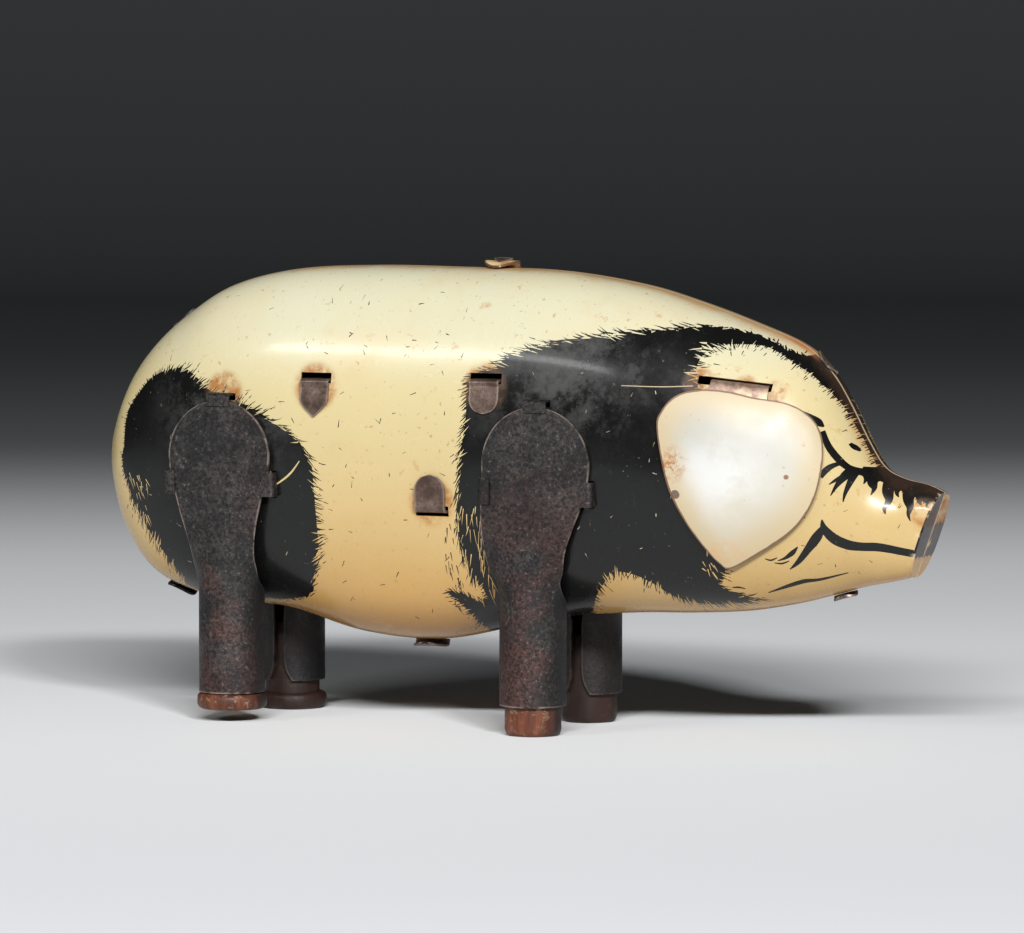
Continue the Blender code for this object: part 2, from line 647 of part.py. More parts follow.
def make_winding(shop, steel, brass):
    """Winding arbor, ratchet wheel and butterfly key, which turn as one."""
    pivot = (MAIN.x, 0, MAIN.y)
    shaft = shop.part("winding_arbor", along_y(MAIN, -12.3, 24.0, 1.8, 14), steel, pivot)
    shop.fuse(shaft, box((MAIN.x - 1.45, 23.5, MAIN.y - 1.45), (MAIN.x + 1.45, 30.5, MAIN.y + 1.45)))
    teeth = 12
    outline = []
    for k in range(teeth):
        a = 2 * math.pi * k / teeth
        for radius, lead in ((5.2, 0.0), (4.0, 0.05)):
            outline.append((MAIN.x + radius * math.cos(a + lead), MAIN.y + radius * math.sin(a + lead)))
    ratchet = shop.part("ratchet_wheel", plate(outline, 4.7, 6.0), brass, pivot)
    shop.cut(ratchet, along_y(MAIN, 3, 8, 2.0))
    key = shop.part("winding_key", along_y(MAIN, 25.0, 36.0, 3.2, 18), steel, pivot)
    for way in (-1, 1):
        centre = (MAIN.x + way * 8.4, MAIN.y)
        wing = arc(centre, 6.6, 0, 360 - 360 / 22, 22)
        shop.fuse(key, plate(wing, 33.2, 35.0))
        shop.cut(key, rod((centre[0] + way * 0.8, 31, centre[1]), (centre[0] + way * 0.8, 37, centre[1]), 3.0, 16))
    shop.cut(key, box((MAIN.x - 1.8, 22.0, MAIN.y - 1.8), (MAIN.x + 1.8, 31.2, MAIN.y + 1.8)))


def make_train(shop, steel, brass):
    second, governor = second_centre(), governor_centre()
    great_turn = 0.0
    wheel(shop, "great_wheel", MAIN, GREAT_TEETH, GREAT_MODULE, great_turn, 6.5, 7.7, 2.1, brass)
    second_turn = mesh_turn(GREAT_TEETH, great_turn, SECOND_PINION, bearing(MAIN, second))
    arbor(shop, "second_arbor", second, (12.3, 12.3), (SECOND_PINION, GREAT_MODULE, second_turn, 5.8, 8.4), steel)
    wheel(shop, "second_wheel", second, SECOND_TEETH, SECOND_MODULE, second_turn, -7.6, -6.5, ARBOR_R + 0.2, brass)
    cam_turn = mesh_turn(SECOND_TEETH, second_turn, CAM_PINION, bearing(second, CAM))
    arbor(shop, "camshaft", CAM, (14.2, 14.2), (CAM_PINION, SECOND_MODULE, cam_turn, -8.4, -5.7), steel)
    wheel(shop, "cam_wheel", CAM, CAM_TEETH, CAM_MODULE, cam_turn, -2.2, -1.2, ARBOR_R + 0.2, brass)
    governor_turn = mesh_turn(CAM_TEETH, cam_turn, GOVERNOR_PINION, bearing(CAM, governor))
    arbor(shop, "governor_arbor", governor, (12.3, 12.3), (GOVERNOR_PINION, CAM_MODULE, governor_turn, -3.0, -0.4),
          steel)
    fly = shop.part("governor_fly", along_y(governor, 3.0, 6.4, 4.4, 20), brass, (governor.x, 0, governor.y))
    shop.cut(fly, along_y(governor, 2, 8, ARBOR_R + 0.2))
    for side, label, dip in ((RIGHT, "right", 180.0), (LEFT, "left", 90.0)):
        ys = sorted((side * 12.0, side * 13.6))
        cam = shop.part(f"{label}_cam", plate(cam_outline(CAM, dip), *ys), steel, (CAM.x, 0, CAM.y))
        shop.cut(cam, along_y(CAM, side * 11, side * 15, ARBOR_R + 0.2))


def make_click(shop, steel, brass):
    """The click and its spring ride on the great wheel and bear on the ratchet."""
    post = MAIN + Vector((9.0, -3.2))
    stud = shop.part("click_stud", along_y(post, 6.2, 3.4, 1.0, 12), steel, (MAIN.x, 0, MAIN.y))
    shop.fuse(stud, along_y(post, 3.9, 3.3, 1.7, 12))
    tip = MAIN + Vector((5.55, 0.4))
    way = (tip - post).normalized()
    across = Vector((-way.y, way.x))
    outline = [post + across * 1.9 - way * 1.4, post - across * 1.9 - way * 1.4, post - across * 1.9 + way * 0.6,
               tip - across * 0.25, tip + across * 0.25, post + across * 1.9 + way * 0.6]
    click = shop.part("click", plate([tuple(p) for p in outline], 4.6, 5.9), steel, (post.x, 0, post.y))
    shop.cut(click, along_y(post, 3, 8, 1.0 + GAP))
    spring_line = [post + Vector(p) for p in ((3.2, -1.0), (3.0, 1.6), (1.6, 4.2), (-0.6, 6.0), (-3.0, 7.0))]
    outer = [p + Vector((0.5, 0.2)) for p in spring_line]
    outline = [tuple(p) for p in spring_line] + [tuple(p) for p in reversed(outer)]
    shop.part("click_spring", plate(outline, 4.8, 5.8), brass, (MAIN.x, 0, MAIN.y))


def make_rocker(shop, side, leg, steel):
    """A bell crank: its tail follows the cam and its long arm carries the foot's pin."""
    label = "right" if side == RIGHT else "left"
    way = 1 if leg == "front" else -1
    _, foot_x, _ = LEGS[leg]
    pivot = Vector((CAM.x + way * ROCKER_PIVOT_DX, ROCKER_PIVOT_Z))
    arm = abs(foot_x - pivot.x)
    lift = LIFTED.get((label, leg), 0.0)
    swing = (FOOT_LIFT / 2 - lift) / arm * way
    outline = [(-2.4, -2.2), (arm - 2.0, -1.5)] + arc((arm, 0), 2.6, -90, 90, 7) + [(arm - 2.4, 1.5), (3.0, 2.2),
              (0.9, 4.6), (0.8, 13.4), (-0.8, 13.4), (-1.6, 3.8), (-2.8, 0.0)]
    turn = Matrix.Rotation(swing, 3, "Y")
    placed = []
    for px, pz in outline:
        moved = turn @ Vector((px * way, 0, pz))
        placed.append((pivot.x + moved.x, pivot.y + moved.z))
    ys = sorted((side * ROCKER_Y[0], side * ROCKER_Y[1]))
    rocker = shop.part(f"{label}_{leg}_rocker", plate(placed, *ys), steel, (pivot.x, 0, pivot.y))
    shop.cut(rocker, along_y(pivot, side * 11, side * 15, 1.0 + GAP))
    pin_z = ROCKER_PIVOT_Z - FOOT_LIFT / 2 + lift
    shop.cut(rocker, along_y(Vector((foot_x, pin_z)), side * 11, side * 15, PIN_R + GAP + 0.1))
    stud = shop.part(f"{label}_{leg}_rocker_stud", along_y(pivot, side * 11.8, side * 14.0, 1.0, 12), steel)
    shop.fuse(stud, along_y(pivot, side * 13.55, side * 14.2, 2.0, 14))


def main():
    clear_scene()
    shop = Workshop()
    cream = material("printed_tin", (0.82, 0.72, 0.42), 0.35, 0.0)
    ivory = material("ear_tin", (0.84, 0.81, 0.68), 0.35, 0.0)
    brown = material("rusty_leg_steel", (0.07, 0.05, 0.045), 0.6, 0.6)
    steel = material("mechanism_steel", (0.25, 0.21, 0.19), 0.45, 0.9)
    brass = material("wheel_brass", (0.60, 0.44, 0.18), 0.35, 1.0)
    wood = material("foot_wood", (0.22, 0.09, 0.05), 0.6, 0.0)

    for side in (RIGHT, LEFT):
        make_shell(shop, side, cream)
        make_ear(shop, side, ivory)
        make_motor_plate(shop, side, steel)
        for leg in LEGS:
            make_leg(shop, side, leg, brown)
            make_foot(shop, side, leg, wood, steel)
            make_rocker(shop, side, leg, steel)
    for name, x, z in (("rear_lower", -42.8, 46.8), ("rear_upper", -42.0, 75.0), ("front_lower", 9.2, 55.0),
                       ("front_upper", 9.4, 76.6)):
        shop.part(f"motor_pillar_{name}", along_y(Vector((x, z)), -10.2, 10.2, 1.5, 12), steel)
    for name, place in SEAM_TABS.items():
        shop.part(f"seam_tab_{name}", seam_tab(*place), cream)
    make_mainspring(shop, steel)
    make_winding(shop, steel, brass)
    make_train(shop, steel, brass)
    make_click(shop, steel, brass)
    for item in list(shop.parts.objects) + list(shop.cutters.objects):
        item.location.y += SEAM_Y * MM


main()
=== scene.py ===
"""The looks of the clockwork tin pig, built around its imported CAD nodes.

Lengths are in millimetres and y is counted from the seam plane; placed() turns them into the frame's metres.
"""

import math

import bpy
import numpy as np
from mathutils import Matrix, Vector
from mathutils.geometry import delaunay_2d_cdt
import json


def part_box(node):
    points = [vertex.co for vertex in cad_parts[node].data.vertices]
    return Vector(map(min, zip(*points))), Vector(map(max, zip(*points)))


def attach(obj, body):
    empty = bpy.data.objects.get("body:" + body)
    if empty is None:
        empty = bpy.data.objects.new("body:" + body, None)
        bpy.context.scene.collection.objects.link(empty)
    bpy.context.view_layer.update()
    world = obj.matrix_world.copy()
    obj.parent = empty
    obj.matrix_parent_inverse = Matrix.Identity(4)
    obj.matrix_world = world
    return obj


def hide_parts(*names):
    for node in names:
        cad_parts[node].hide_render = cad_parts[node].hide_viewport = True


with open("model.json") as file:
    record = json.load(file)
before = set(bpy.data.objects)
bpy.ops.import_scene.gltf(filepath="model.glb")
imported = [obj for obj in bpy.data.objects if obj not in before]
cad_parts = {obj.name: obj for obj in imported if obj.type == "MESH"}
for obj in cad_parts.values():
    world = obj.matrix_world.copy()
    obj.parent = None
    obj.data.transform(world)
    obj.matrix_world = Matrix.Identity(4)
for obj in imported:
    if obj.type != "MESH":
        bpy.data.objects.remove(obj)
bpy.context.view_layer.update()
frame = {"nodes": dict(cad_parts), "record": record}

MM = 0.001
SEAM_Y = (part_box("right_body_shell")[1].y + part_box("left_body_shell")[0].y) / 2 / MM
SIDES = {"right": -1, "left": 1}
TIN = 0.45                   # thickness of the printed sheet
LEG_SHEET = 0.6              # thicknesses of the other sheets
LEG_TAB_SHEET = 0.5
FIXING_TAB_SHEET = 0.55
NECK_SHEET = 0.42
SEAM_GAP = 0.12              # from each half shell to the seam plane
RIM_WEAR = (0.7, 0.5)        # width of the worn rim of the snout, on its side and on its end

# Body outline, one station a row: top (x, z) and bottom (x, z) of the seam, half width, section exponent.
STATIONS = np.array([
    (-99.6, 61.8, -99.6, 53.6, 3.6, 2.1),
    (-98.0, 68.0, -98.4, 48.5, 7.4, 2.1),
    (-93.6, 77.4, -95.0, 39.2, 12.0, 2.15),
    (-87.6, 84.8, -88.6, 31.4, 15.4, 2.2),
    (-79.4, 91.4, -79.0, 27.4, 18.2, 2.25),
    (-69.0, 97.4, -68.0, 25.7, 20.2, 2.3),
    (-54.0, 101.0, -54.0, 24.4, 21.3, 2.3),
    (-34.5, 102.1, -36.0, 19.8, 21.8, 2.3),
    (-13.0, 102.0, -16.0, 19.1, 22.0, 2.3),
    (9.6, 101.6, 9.0, 24.6, 22.0, 2.3),
    (29.0, 99.0, 29.0, 26.5, 21.9, 2.3),
    (43.1, 95.3, 43.0, 27.0, 21.3, 2.25),
    (57.2, 90.6, 56.0, 27.9, 19.8, 2.2),
    (68.0, 86.2, 66.8, 29.8, 17.2, 2.1),
    (74.3, 80.4, 73.4, 31.5, 15.0, 2.0),
    (78.6, 73.8, 78.4, 32.9, 12.9, 1.95),
    (83.0, 65.6, 82.2, 34.0, 10.9, 1.95),
    (86.7, 60.2, 85.4, 34.7, 9.3, 2.0),
    (91.4, 57.8, 88.4, 35.3, 7.7, 2.1),
    (96.6, 56.7, 91.2, 35.9, 6.9, 2.3),
    (100.0, 55.3, 93.4, 36.6, 6.2, 2.5),
])
LAST_STATION = len(STATIONS) - 1
REAR_TIP = (-100.0, 0.0, 57.6)

LEG_FACE = 23.0              # from the seam plane to the outer face of a leg
TUBE_R = 7.4
TUBE_Y = LEG_FACE - TUBE_R
PAD_Z = 59.8
LEGS = {"front": (13.6, 10.0, 12.8), "rear": (-63.4, -63.8, 12.4)}   # pad x, tube x, pad radius
LEG_TAPER = {                # height, half width, wrap angle
    "front": [(55.0, 12.5, 0.03), (50.0, 11.8, 0.06), (45.0, 10.7, 0.16), (40.5, 9.6, 0.42),
              (36.5, 8.8, 0.78)],
    "rear": [(55.0, 11.9, 0.03), (50.5, 10.6, 0.06), (46.6, 9.6, 0.14), (42.5, 8.6, 0.36),
             (38.0, 7.8, 0.70)],
}
LEG_ROLL = [(34.0, 7.7, 1.08), (31.5, 7.5, 1.42), (29.0, 7.4, 1.9), (27.0, 7.4, 2.35), (25.0, 7.4, 2.75),
            (23.0, 7.4, 2.96), (11.2, 7.4, 2.96), (6.6, 7.4, 2.72)]
LEG_TABS = {                 # direction, height off the pad's centre, reach from the centre
    "front": [(90.0, 0.0, 12.8), (0.0, -6.0, 12.0), (180.0, -6.0, 12.0)],
    "rear": [(90.0, 0.0, 12.4), (0.0, -6.0, 12.0), (180.0, -6.0, 12.0)],
}
LEG_TAB_W = 5.4
SLOT_PLAY = 0.35             # from a tab's edge to the end of its slot
FOOT_LIFT = 2.7              # of the right rear foot, which is up at rest
FOOT_PROFILES = {            # radius, height
    "front": [(4.6, 0.0), (5.4, 0.06), (5.85, 0.35), (6.1, 0.85), (6.2, 1.5), (6.22, 6.0), (6.2, 12.0),
              (6.2, 19.4), (5.6, 20.0)],
    "rear": [(6.0, 0.0), (6.9, 0.12), (7.5, 0.5), (7.8, 1.1), (7.85, 2.0), (7.8, 2.9), (7.5, 3.4),
             (7.0, 3.65), (6.2, 3.7), (6.2, 12.0), (6.2, 19.4), (5.6, 20.0)],
}

PLATE_FACES = (10.5, 11.5)   # inner and outer face of a motor plate, from the seam plane
PLATE_OUTLINE = [
    (-45.5, 46.0), (-43.5, 44.0), (-39.0, 44.0), (-36.0, 41.0), (-18.0, 41.0), (-14.0, 45.0),
    (8.0, 50.5), (12.0, 54.0), (12.0, 77.0), (9.5, 79.5), (-41.0, 79.5), (-45.5, 75.0),
]
FIXING_TABS = [              # x, z of the slot, direction of the fold, width, length, tip
    (-40.4, 77.2, -1, 6.8, 8.0, "point"),
    (0.9, 78.0, -1, 7.0, 7.2, "round"),
    (-11.7, 49.6, 1, 7.2, 7.6, "round"),
]
EAR_OUTLINE = [
    (42.2, 68.7), (43.1, 72.6), (46.1, 75.9), (51.2, 77.2), (57.1, 76.9), (62.6, 75.7), (69.6, 74.4),
    (73.9, 71.8), (76.4, 68.2), (77.4, 63.3), (76.9, 56.9), (74.9, 51.5), (70.9, 46.7), (64.4, 42.2),
    (57.4, 38.4), (55.2, 39.3), (52.4, 42.6), (48.1, 49.1), (44.6, 56.7),
]
EAR_CENTRE = (58.0, 60.5)
EAR_CLEARANCE = 0.9
EAR_DOME = 0.9
EAR_SLOT = (Vector((49.9, 17.8, 79.2)), Vector((65.6, 13.8, 77.5)))
UNWORN = 5.0                 # distance to the edge for pieces without worn edges
SEAM_TABS = {                # x on the seam, edge, width
    "rump": (-83.0, "top", 7.0), "back": (-4.6, "top", 8.2), "forehead": (72.6, "top", 6.4),
    "tail": (-84.0, "bottom", 7.0), "belly": (-22.0, "bottom", 8.2), "chin": (77.0, "bottom", 5.6),
}
SEAM_TONGUES = {             # depth across the seam, how proud it stands, finish
    "rump": (2.4, 0.3, "dark"), "back": (4.6, 1.2, "cream"), "forehead": (1.8, 0.3, "dark"),
    "tail": (3.4, 0.7, "dark"), "belly": (4.2, 0.9, "dark"), "chin": (2.4, 0.3, "dark"),
}


# ---------------------------------------------------------------- meshes

def placed(points):
    """Points in millimetres from the seam plane, as an array in the frame's metres."""
    points = np.asarray(points, float).reshape(-1, 3).copy()
    points[:, 1] += SEAM_Y
    return points * MM


def new_piece(name, points, faces, materials, body, stands_for, sharp_deg=40.0):
    mesh = bpy.data.meshes.new(name)
    mesh.from_pydata(placed(points).tolist(), [], faces)
    mesh.validate()
    mesh.shade_smooth()
    if sharp_deg:
        mesh.set_sharp_from_angle(angle=math.radians(sharp_deg))
    for material in materials:
        mesh.materials.append(material)
    made = bpy.data.objects.new(name, mesh)
    bpy.context.scene.collection.objects.link(made)
    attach(made, body)
    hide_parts(*stands_for)
    return made


def set_attribute(mesh, name, values, domain="POINT"):
    layer = mesh.attributes.new(name, "FLOAT", domain)
    layer.data.foreach_set("value", np.asarray(values, np.float32))


def spline(rows, t):
    """Catmull-Rom through the rows of an array at places t, counted in rows."""
    rows = np.asarray(rows, float)
    t = np.clip(np.asarray(t, float), 0, len(rows) - 1)
    k = np.minimum(t.astype(int), len(rows) - 2)
    f = (t - k)[:, None]
    p0, p1, p2, p3 = (rows[np.clip(k + n, 0, len(rows) - 1)] for n in (-1, 0, 1, 2))
    return 0.5 * (2 * p1 + (p2 - p0) * f + (2 * p0 - 5 * p1 + 4 * p2 - p3) * f ** 2
                  + (3 * p1 - p0 - 3 * p2 + p3) * f ** 3)


def closed_spline(rows, steps):
    """A closed smooth loop through the rows, with a number of steps to each stretch."""
    rows = np.asarray(rows, float)
    loop = np.vstack([rows[-1:], rows, rows[:2]])
    return spline(loop, 1 + np.arange(len(rows) * steps) / steps)


def grid_normals(grid):
    """Unit normals of a grid of points, from its row and column directions."""
    normal = np.cross(np.gradient(grid, axis=0), np.gradient(grid, axis=1))
    length = np.linalg.norm(normal, axis=2, keepdims=True)
    return normal / np.maximum(length, 1e-9)


def grid_faces(rows, columns, closed=False):
    """Faces of a grid of points, counted row by row; in a closed one the last column meets the first."""
    faces = []
    for r in range(rows - 1):
        for c in range(columns if closed else columns - 1):
            here, there = r * columns + c, r * columns + (c + 1) % columns
            faces.append((here, here + columns, there + columns, there))
    return faces


def with_back(faces, count):
    """The faces of a sheet's outer side and of its inner side, whose points are numbered from count on."""
    return faces + [tuple(i + count for i in face[::-1]) for face in faces]


def sheet_solid(grid, thickness, flip=False):
    """A closed sheet from a grid of its outer face: points, faces and each point's distance to the edge."""
    rows, columns = grid.shape[:2]
    inner = grid - grid_normals(grid) * thickness * (-1 if flip else 1)
    points = np.vstack([grid.reshape(-1, 3), inner.reshape(-1, 3)])
    count = rows * columns
    faces = with_back(grid_faces(rows, columns), count)
    at = np.arange(count).reshape(rows, columns)
    rim = [int(k) for k in (*at[0], *at[1:, -1], *at[-1, -2::-1], *at[-2:0:-1, 0])]
    faces += [(a, b, b + count, a + count) for a, b in zip(rim, rim[1:] + rim[:1])]
    if flip:
        faces = [face[::-1] for face in faces]
    steps_r = np.linalg.norm(np.diff(grid, axis=0), axis=2)
    steps_c = np.linalg.norm(np.diff(grid, axis=1), axis=2)
    down = np.vstack([np.zeros((1, columns)), np.cumsum(steps_r, axis=0)])
    across = np.hstack([np.zeros((rows, 1)), np.cumsum(steps_c, axis=1)])
    edge = np.minimum(np.minimum(down, down[-1:] - down), np.minimum(across, across[:, -1:] - across))
    return points, faces, np.tile(edge.reshape(-1), 2)


def turned_solid(profile, centre, sides, wobble=0.0, seed=0):
    """A turned piece about a vertical axis: profile of (radius, z), from the bottom to the top."""
    rng = np.random.default_rng(seed)
    angles = np.arange(sides) * 2 * math.pi / sides
    dents = sum(rng.normal() * np.cos(angles * n + rng.uniform(0, 6.28)) for n in (2, 3, 5, 8)) * wobble
    points = []
    for radius, z in profile:
        for r, a in zip(radius + dents * min(1.0, radius / 5), angles):
            points.append((centre[0] + r * math.cos(a), centre[1] + r * math.sin(a), z))
    faces = [(a, d, c, b) for a, b, c, d in grid_faces(len(profile), sides, closed=True)]
    faces.append(tuple(range(sides - 1, -1, -1)))
    faces.append(tuple(range(len(points) - sides, len(points))))
    return np.array(points), faces


def joined(*solids):
    """Several (points, faces) as one."""
    points, faces = [], []
    for some_points, some_faces in solids:
        start = len(points)
        points += [tuple(p) for p in some_points]
        faces += [tuple(i + start for i in f) for f in some_faces]
    return points, faces


# ---------------------------------------------------------------- the body's surface

def signed_power(value, power):
    return np.sign(value) * np.abs(value) ** power


def body_point(t, angle):
    """Points of the right or left half surface; x, distance from the seam plane, z."""
    row = spline(STATIONS, t)
    power = 2 / row[:, 5]
    share = (1 + signed_power(np.cos(angle), power)) / 2
    out = signed_power(np.sin(angle), power)
    return np.stack([row[:, 2] + (row[:, 0] - row[:, 2]) * share, out * row[:, 4],
                     row[:, 3] + (row[:, 1] - row[:, 3]) * share], axis=1)


def body_normal(t, angle):
    """Outward unit normals, in the same terms as body_point."""
    dt, da = 0.02, 0.01
    angle = np.clip(angle, 0.03, math.pi - 0.03)
    along = body_point(np.minimum(t + dt, LAST_STATION), angle) - body_point(np.maximum(t - dt, 0), angle)
    around = body_point(t, angle + da) - body_point(t, angle - da)
    normal = np.cross(around, along)
    normal /= np.linalg.norm(normal, axis=1, keepdims=True)
    outwards = np.sign(normal[:, 1] + 1e-12)
    return normal * outwards[:, None]


def body_params(x, z):
    """Station and section angle of points of the side elevation; points beyond the seam are set on it."""
    x, z = np.asarray(x, float), np.asarray(z, float)
    low, high = np.zeros_like(x), np.full_like(x, LAST_STATION)
    for _ in range(30):
        middle = (low + high) / 2
        row = spline(STATIONS, middle)
        ahead = (x - row[:, 2]) * (row[:, 1] - row[:, 3]) - (z - row[:, 3]) * (row[:, 0] - row[:, 2])
        low, high = np.where(ahead > 0, middle, low), np.where(ahead > 0, high, middle)
    up = np.clip(2 * (z - row[:, 3]) / (row[:, 1] - row[:, 3]) - 1, -1, 1)
    return middle, np.arccos(signed_power(up, row[:, 5] / 2))


def half_width(x, z):
    return body_point(*body_params(x, z))[:, 1]


# The flattened sheet: u runs along the widest line of the body, v is the section angle times AROUND.
FLAT_T = np.linspace(0, LAST_STATION, 801)
WIDEST_LINE = body_point(FLAT_T, np.full(FLAT_T.shape, math.pi / 2))
FLAT_U = np.concatenate([[0], np.cumsum(np.linalg.norm(np.diff(WIDEST_LINE, axis=0), axis=1))])
AROUND = 26.0                # millimetres for each radian


def flattened(x, z):
    """Places of the side elevation on the flattened sheet, where the print is laid out."""
    t, angle = body_params(x, z)
    return np.stack([np.interp(t, FLAT_T, FLAT_U), angle * AROUND], axis=1)


# ---------------------------------------------------------------- the print

REAR_PATCH = [               # x, z, direction of the hair in degrees (0 to the nose, 90 up), its length
    (-91.9, 61.1, 180, 0.5), (-91.4, 68.5, 165, 0.6), (-87.2, 74.1, 140, 0.8), (-83.5, 77.1, 110, 1.1),
    (-76.2, 79.0, 60, 1.6), (-71.8, 77.6, 40, 2.0), (-67.1, 74.2, 40, 2.0), (-60.7, 72.0, 60, 2.0),
    (-56.5, 71.0, 30, 2.0), (-51.1, 68.0, -5, 2.2), (-45.6, 64.6, -20, 2.2), (-41.6, 60.1, -35, 2.1),
    (-40.7, 55.6, -35, 2.2), (-40.3, 46.9, -15, 2.1), (-40.6, 39.2, 30, 2.3), (-43.4, 32.0, 45, 2.4),
    (-45.5, 28.6, 20, 1.0), (-57.3, 27.0, -80, 0.5), (-77.0, 28.4, -110, 0.8), (-79.3, 32.3, -120, 1.8),
    (-82.7, 38.0, -115, 2.6), (-87.3, 45.0, -110, 2.6), (-91.0, 52.1, -120, 1.6), (-92.6, 57.9, 180, 0.6),
]
FRONT_PATCH = [
    (-1.6, 31.2, 215, 1.2), (-3.8, 34.4, 255, 2.0), (-5.4, 41.6, 262, 3.0), (-5.5, 48.1, 260, 3.0),
    (-5.2, 55.6, 245, 2.4), (-4.4, 63.1, 232, 2.2), (-3.4, 70.1, 222, 2.0), (-3.4, 77.9, 200, 1.6),
    (-0.6, 79.8, 182, 2.2), (2.6, 80.6, 176, 2.4), (5.1, 82.7, 174, 2.6), (10.6, 85.0, 172, 2.8),
    (16.7, 86.6, 172, 3.0), (24.4, 87.8, 172, 3.2), (32.4, 88.8, 171, 3.2), (40.0, 89.5, 172, 3.0),
    (47.2, 90.4, 172, 2.4), (53.2, 90.0, 168, 1.2), (59.3, 88.6, 150, 0.6), (65.0, 86.2, 140, 0.5),
    (70.0, 84.2, 110, 0.4), (74.0, 85.0, 90, 0.0), (80.0, 77.0, 60, 0.0), (86.0, 66.0, 60, 0.0),
    (94.0, 60.5, 60, 0.0), (101.5, 57.5, 0, 0.0), (99.8, 52.4, 250, 0.4), (96.6, 53.7, 250, 0.6),
    (91.6, 55.9, 240, 0.5), (88.3, 57.8, 200, 0.5), (85.6, 60.8, 210, 0.6), (81.8, 67.3, 225, 0.55),
    (78.0, 73.8, 225, 0.6), (73.7, 78.8, 230, 0.55), (69.7, 82.0, 235, 0.6), (62.8, 86.0, 240, 0.7),
    (57.6, 86.7, 265, 1.2), (52.6, 86.4, 330, 2.0), (49.8, 84.0, 350, 2.6), (49.2, 80.6, 350, 2.6),
    (50.4, 77.0, 0, 1.6), (53.6, 68.0, 0, 0.6), (56.6, 57.0, 0, 0.6), (57.2, 46.0, 0, 0.8),
    (55.3, 37.4, -15, 1.2), (54.0, 34.3, -15, 1.8), (56.4, 32.4, -10, 2.4), (60.7, 31.2, -5, 2.2),
    (53.9, 29.9, -60, 1.2), (47.2, 29.9, -75, 1.4), (41.7, 31.7, 262, 1.4), (38.6, 34.1, 250, 1.6),
    (34.1, 36.3, 248, 1.6), (29.5, 36.6, 265, 1.7), (26.4, 33.7, 300, 1.6), (23.5, 30.5, 315, 1.4),
    (20.8, 27.2, 330, 0.8), (12.0, 20.0, 270, 0.0), (-2.0, 17.0, 270, 0.0), (-5.4, 22.4, 235, 1.2),
    (-7.2, 27.2, 200, 1.4), (-10.2, 30.9, 170, 1.2), (-6.8, 30.6, 120, 1.2), (-3.4, 28.9, 120, 1.2),
]
STROKES = [                  # face drawing: points (x, z, half thickness)
    [(70.5, 73.4, 0.1), (73.5, 71.6, 0.5), (75.2, 70.3, 0.75), (76.4, 69.3, 0.15)],
    [(76.3, 68.4, 0.45), (77.6, 65.3, 0.6), (79.6, 62.5, 0.65), (81.5, 60.6, 0.6),
     (83.7, 59.6, 0.7), (86.6, 58.9, 0.8), (91.1, 57.3, 0.9), (96.0, 55.6, 0.8)],
    [(76.7, 58.6, 0.55), (77.9, 60.3, 0.65), (79.3, 61.2, 0.5), (80.6, 61.4, 0.25)],
    [(81.0, 65.6, 0.25), (81.9, 64.7, 0.4), (82.8, 63.9, 0.15)],
    [(82.6, 60.4, 1.0), (81.2, 58.8, 0.9), (79.9, 56.8, 0.45), (78.8, 54.6, 0.1)],
    [(83.0, 60.0, 0.9), (82.2, 57.3, 0.6), (81.5, 55.0, 0.35), (81.2, 53.2, 0.1)],
    [(81.2, 59.0, 0.5), (79.6, 57.9, 0.35), (78.4, 57.0, 0.1)],
    [(86.6, 59.0, 1.7), (86.1, 57.4, 1.0), (86.6, 56.0, 0.5), (86.2, 54.6, 0.1)],
    [(84.6, 59.6, 0.9), (84.9, 58.2, 0.5), (84.6, 57.0, 0.1)],
    [(90.0, 57.6, 2.4), (89.4, 55.6, 1.3), (89.9, 53.6, 0.8), (89.2, 51.8, 0.45), (89.5, 50.6, 0.1)],
    [(91.4, 56.8, 1.0), (91.2, 55.2, 0.5), (91.8, 54.2, 0.1)],
    [(94.2, 56.0, 2.2), (94.0, 54.0, 1.3), (94.6, 52.2, 0.8), (94.4, 50.6, 0.4), (94.9, 49.2, 0.1)],
    [(96.6, 55.0, 1.2), (96.4, 53.6, 0.6), (97.0, 52.6, 0.1)],
    [(83.7, 59.8, 0.9), (88.0, 58.6, 1.3), (92.0, 57.2, 1.6), (97.0, 55.2, 1.4)],
    [(77.0, 49.4, 0.15), (77.4, 47.4, 0.8), (79.2, 45.2, 1.15), (81.9, 43.9, 1.1), (84.7, 43.5, 0.95),
     (88.0, 43.4, 0.95), (92.6, 42.6, 0.85), (98.0, 41.6, 0.85)],
    [(77.2, 47.8, 0.5), (75.6, 45.4, 1.0), (73.4, 42.6, 0.75), (71.2, 40.0, 0.5), (69.2, 38.3, 0.1)],
    [(71.6, 43.4, 0.1), (70.3, 42.0, 0.5), (68.6, 40.8, 0.3), (67.0, 40.2, 0.1)],
    [(69.4, 40.2, 0.1), (67.8, 39.6, 0.2), (66.2, 39.7, 0.1)],
    [(67.0, 40.9, 0.1), (65.6, 40.3, 0.2), (64.4, 40.6, 0.1)],
    [(63.2, 32.8, 0.1), (68.3, 34.6, 0.4), (71.6, 35.6, 0.45), (74.8, 36.0, 0.3), (80.9, 37.6, 0.1)],
    [(56.0, 33.9, 0.1), (57.4, 34.0, 0.22), (58.8, 33.7, 0.1)],
]
REAR_SCRATCH = [(-51.4, 53.0, 0.12), (-48.5, 54.7, 0.2), (-46.1, 56.6, 0.22), (-44.0, 59.2, 0.1)]
EAR_SCRATCH = [(33.0, 77.7, 0.08), (42.0, 77.6, 0.1), (49.0, 77.9, 0.1)]
PRINT_SEEDS = {"right": 11, "left": 12}
CREAM, BLACK, BARE, HOLE = range(4)
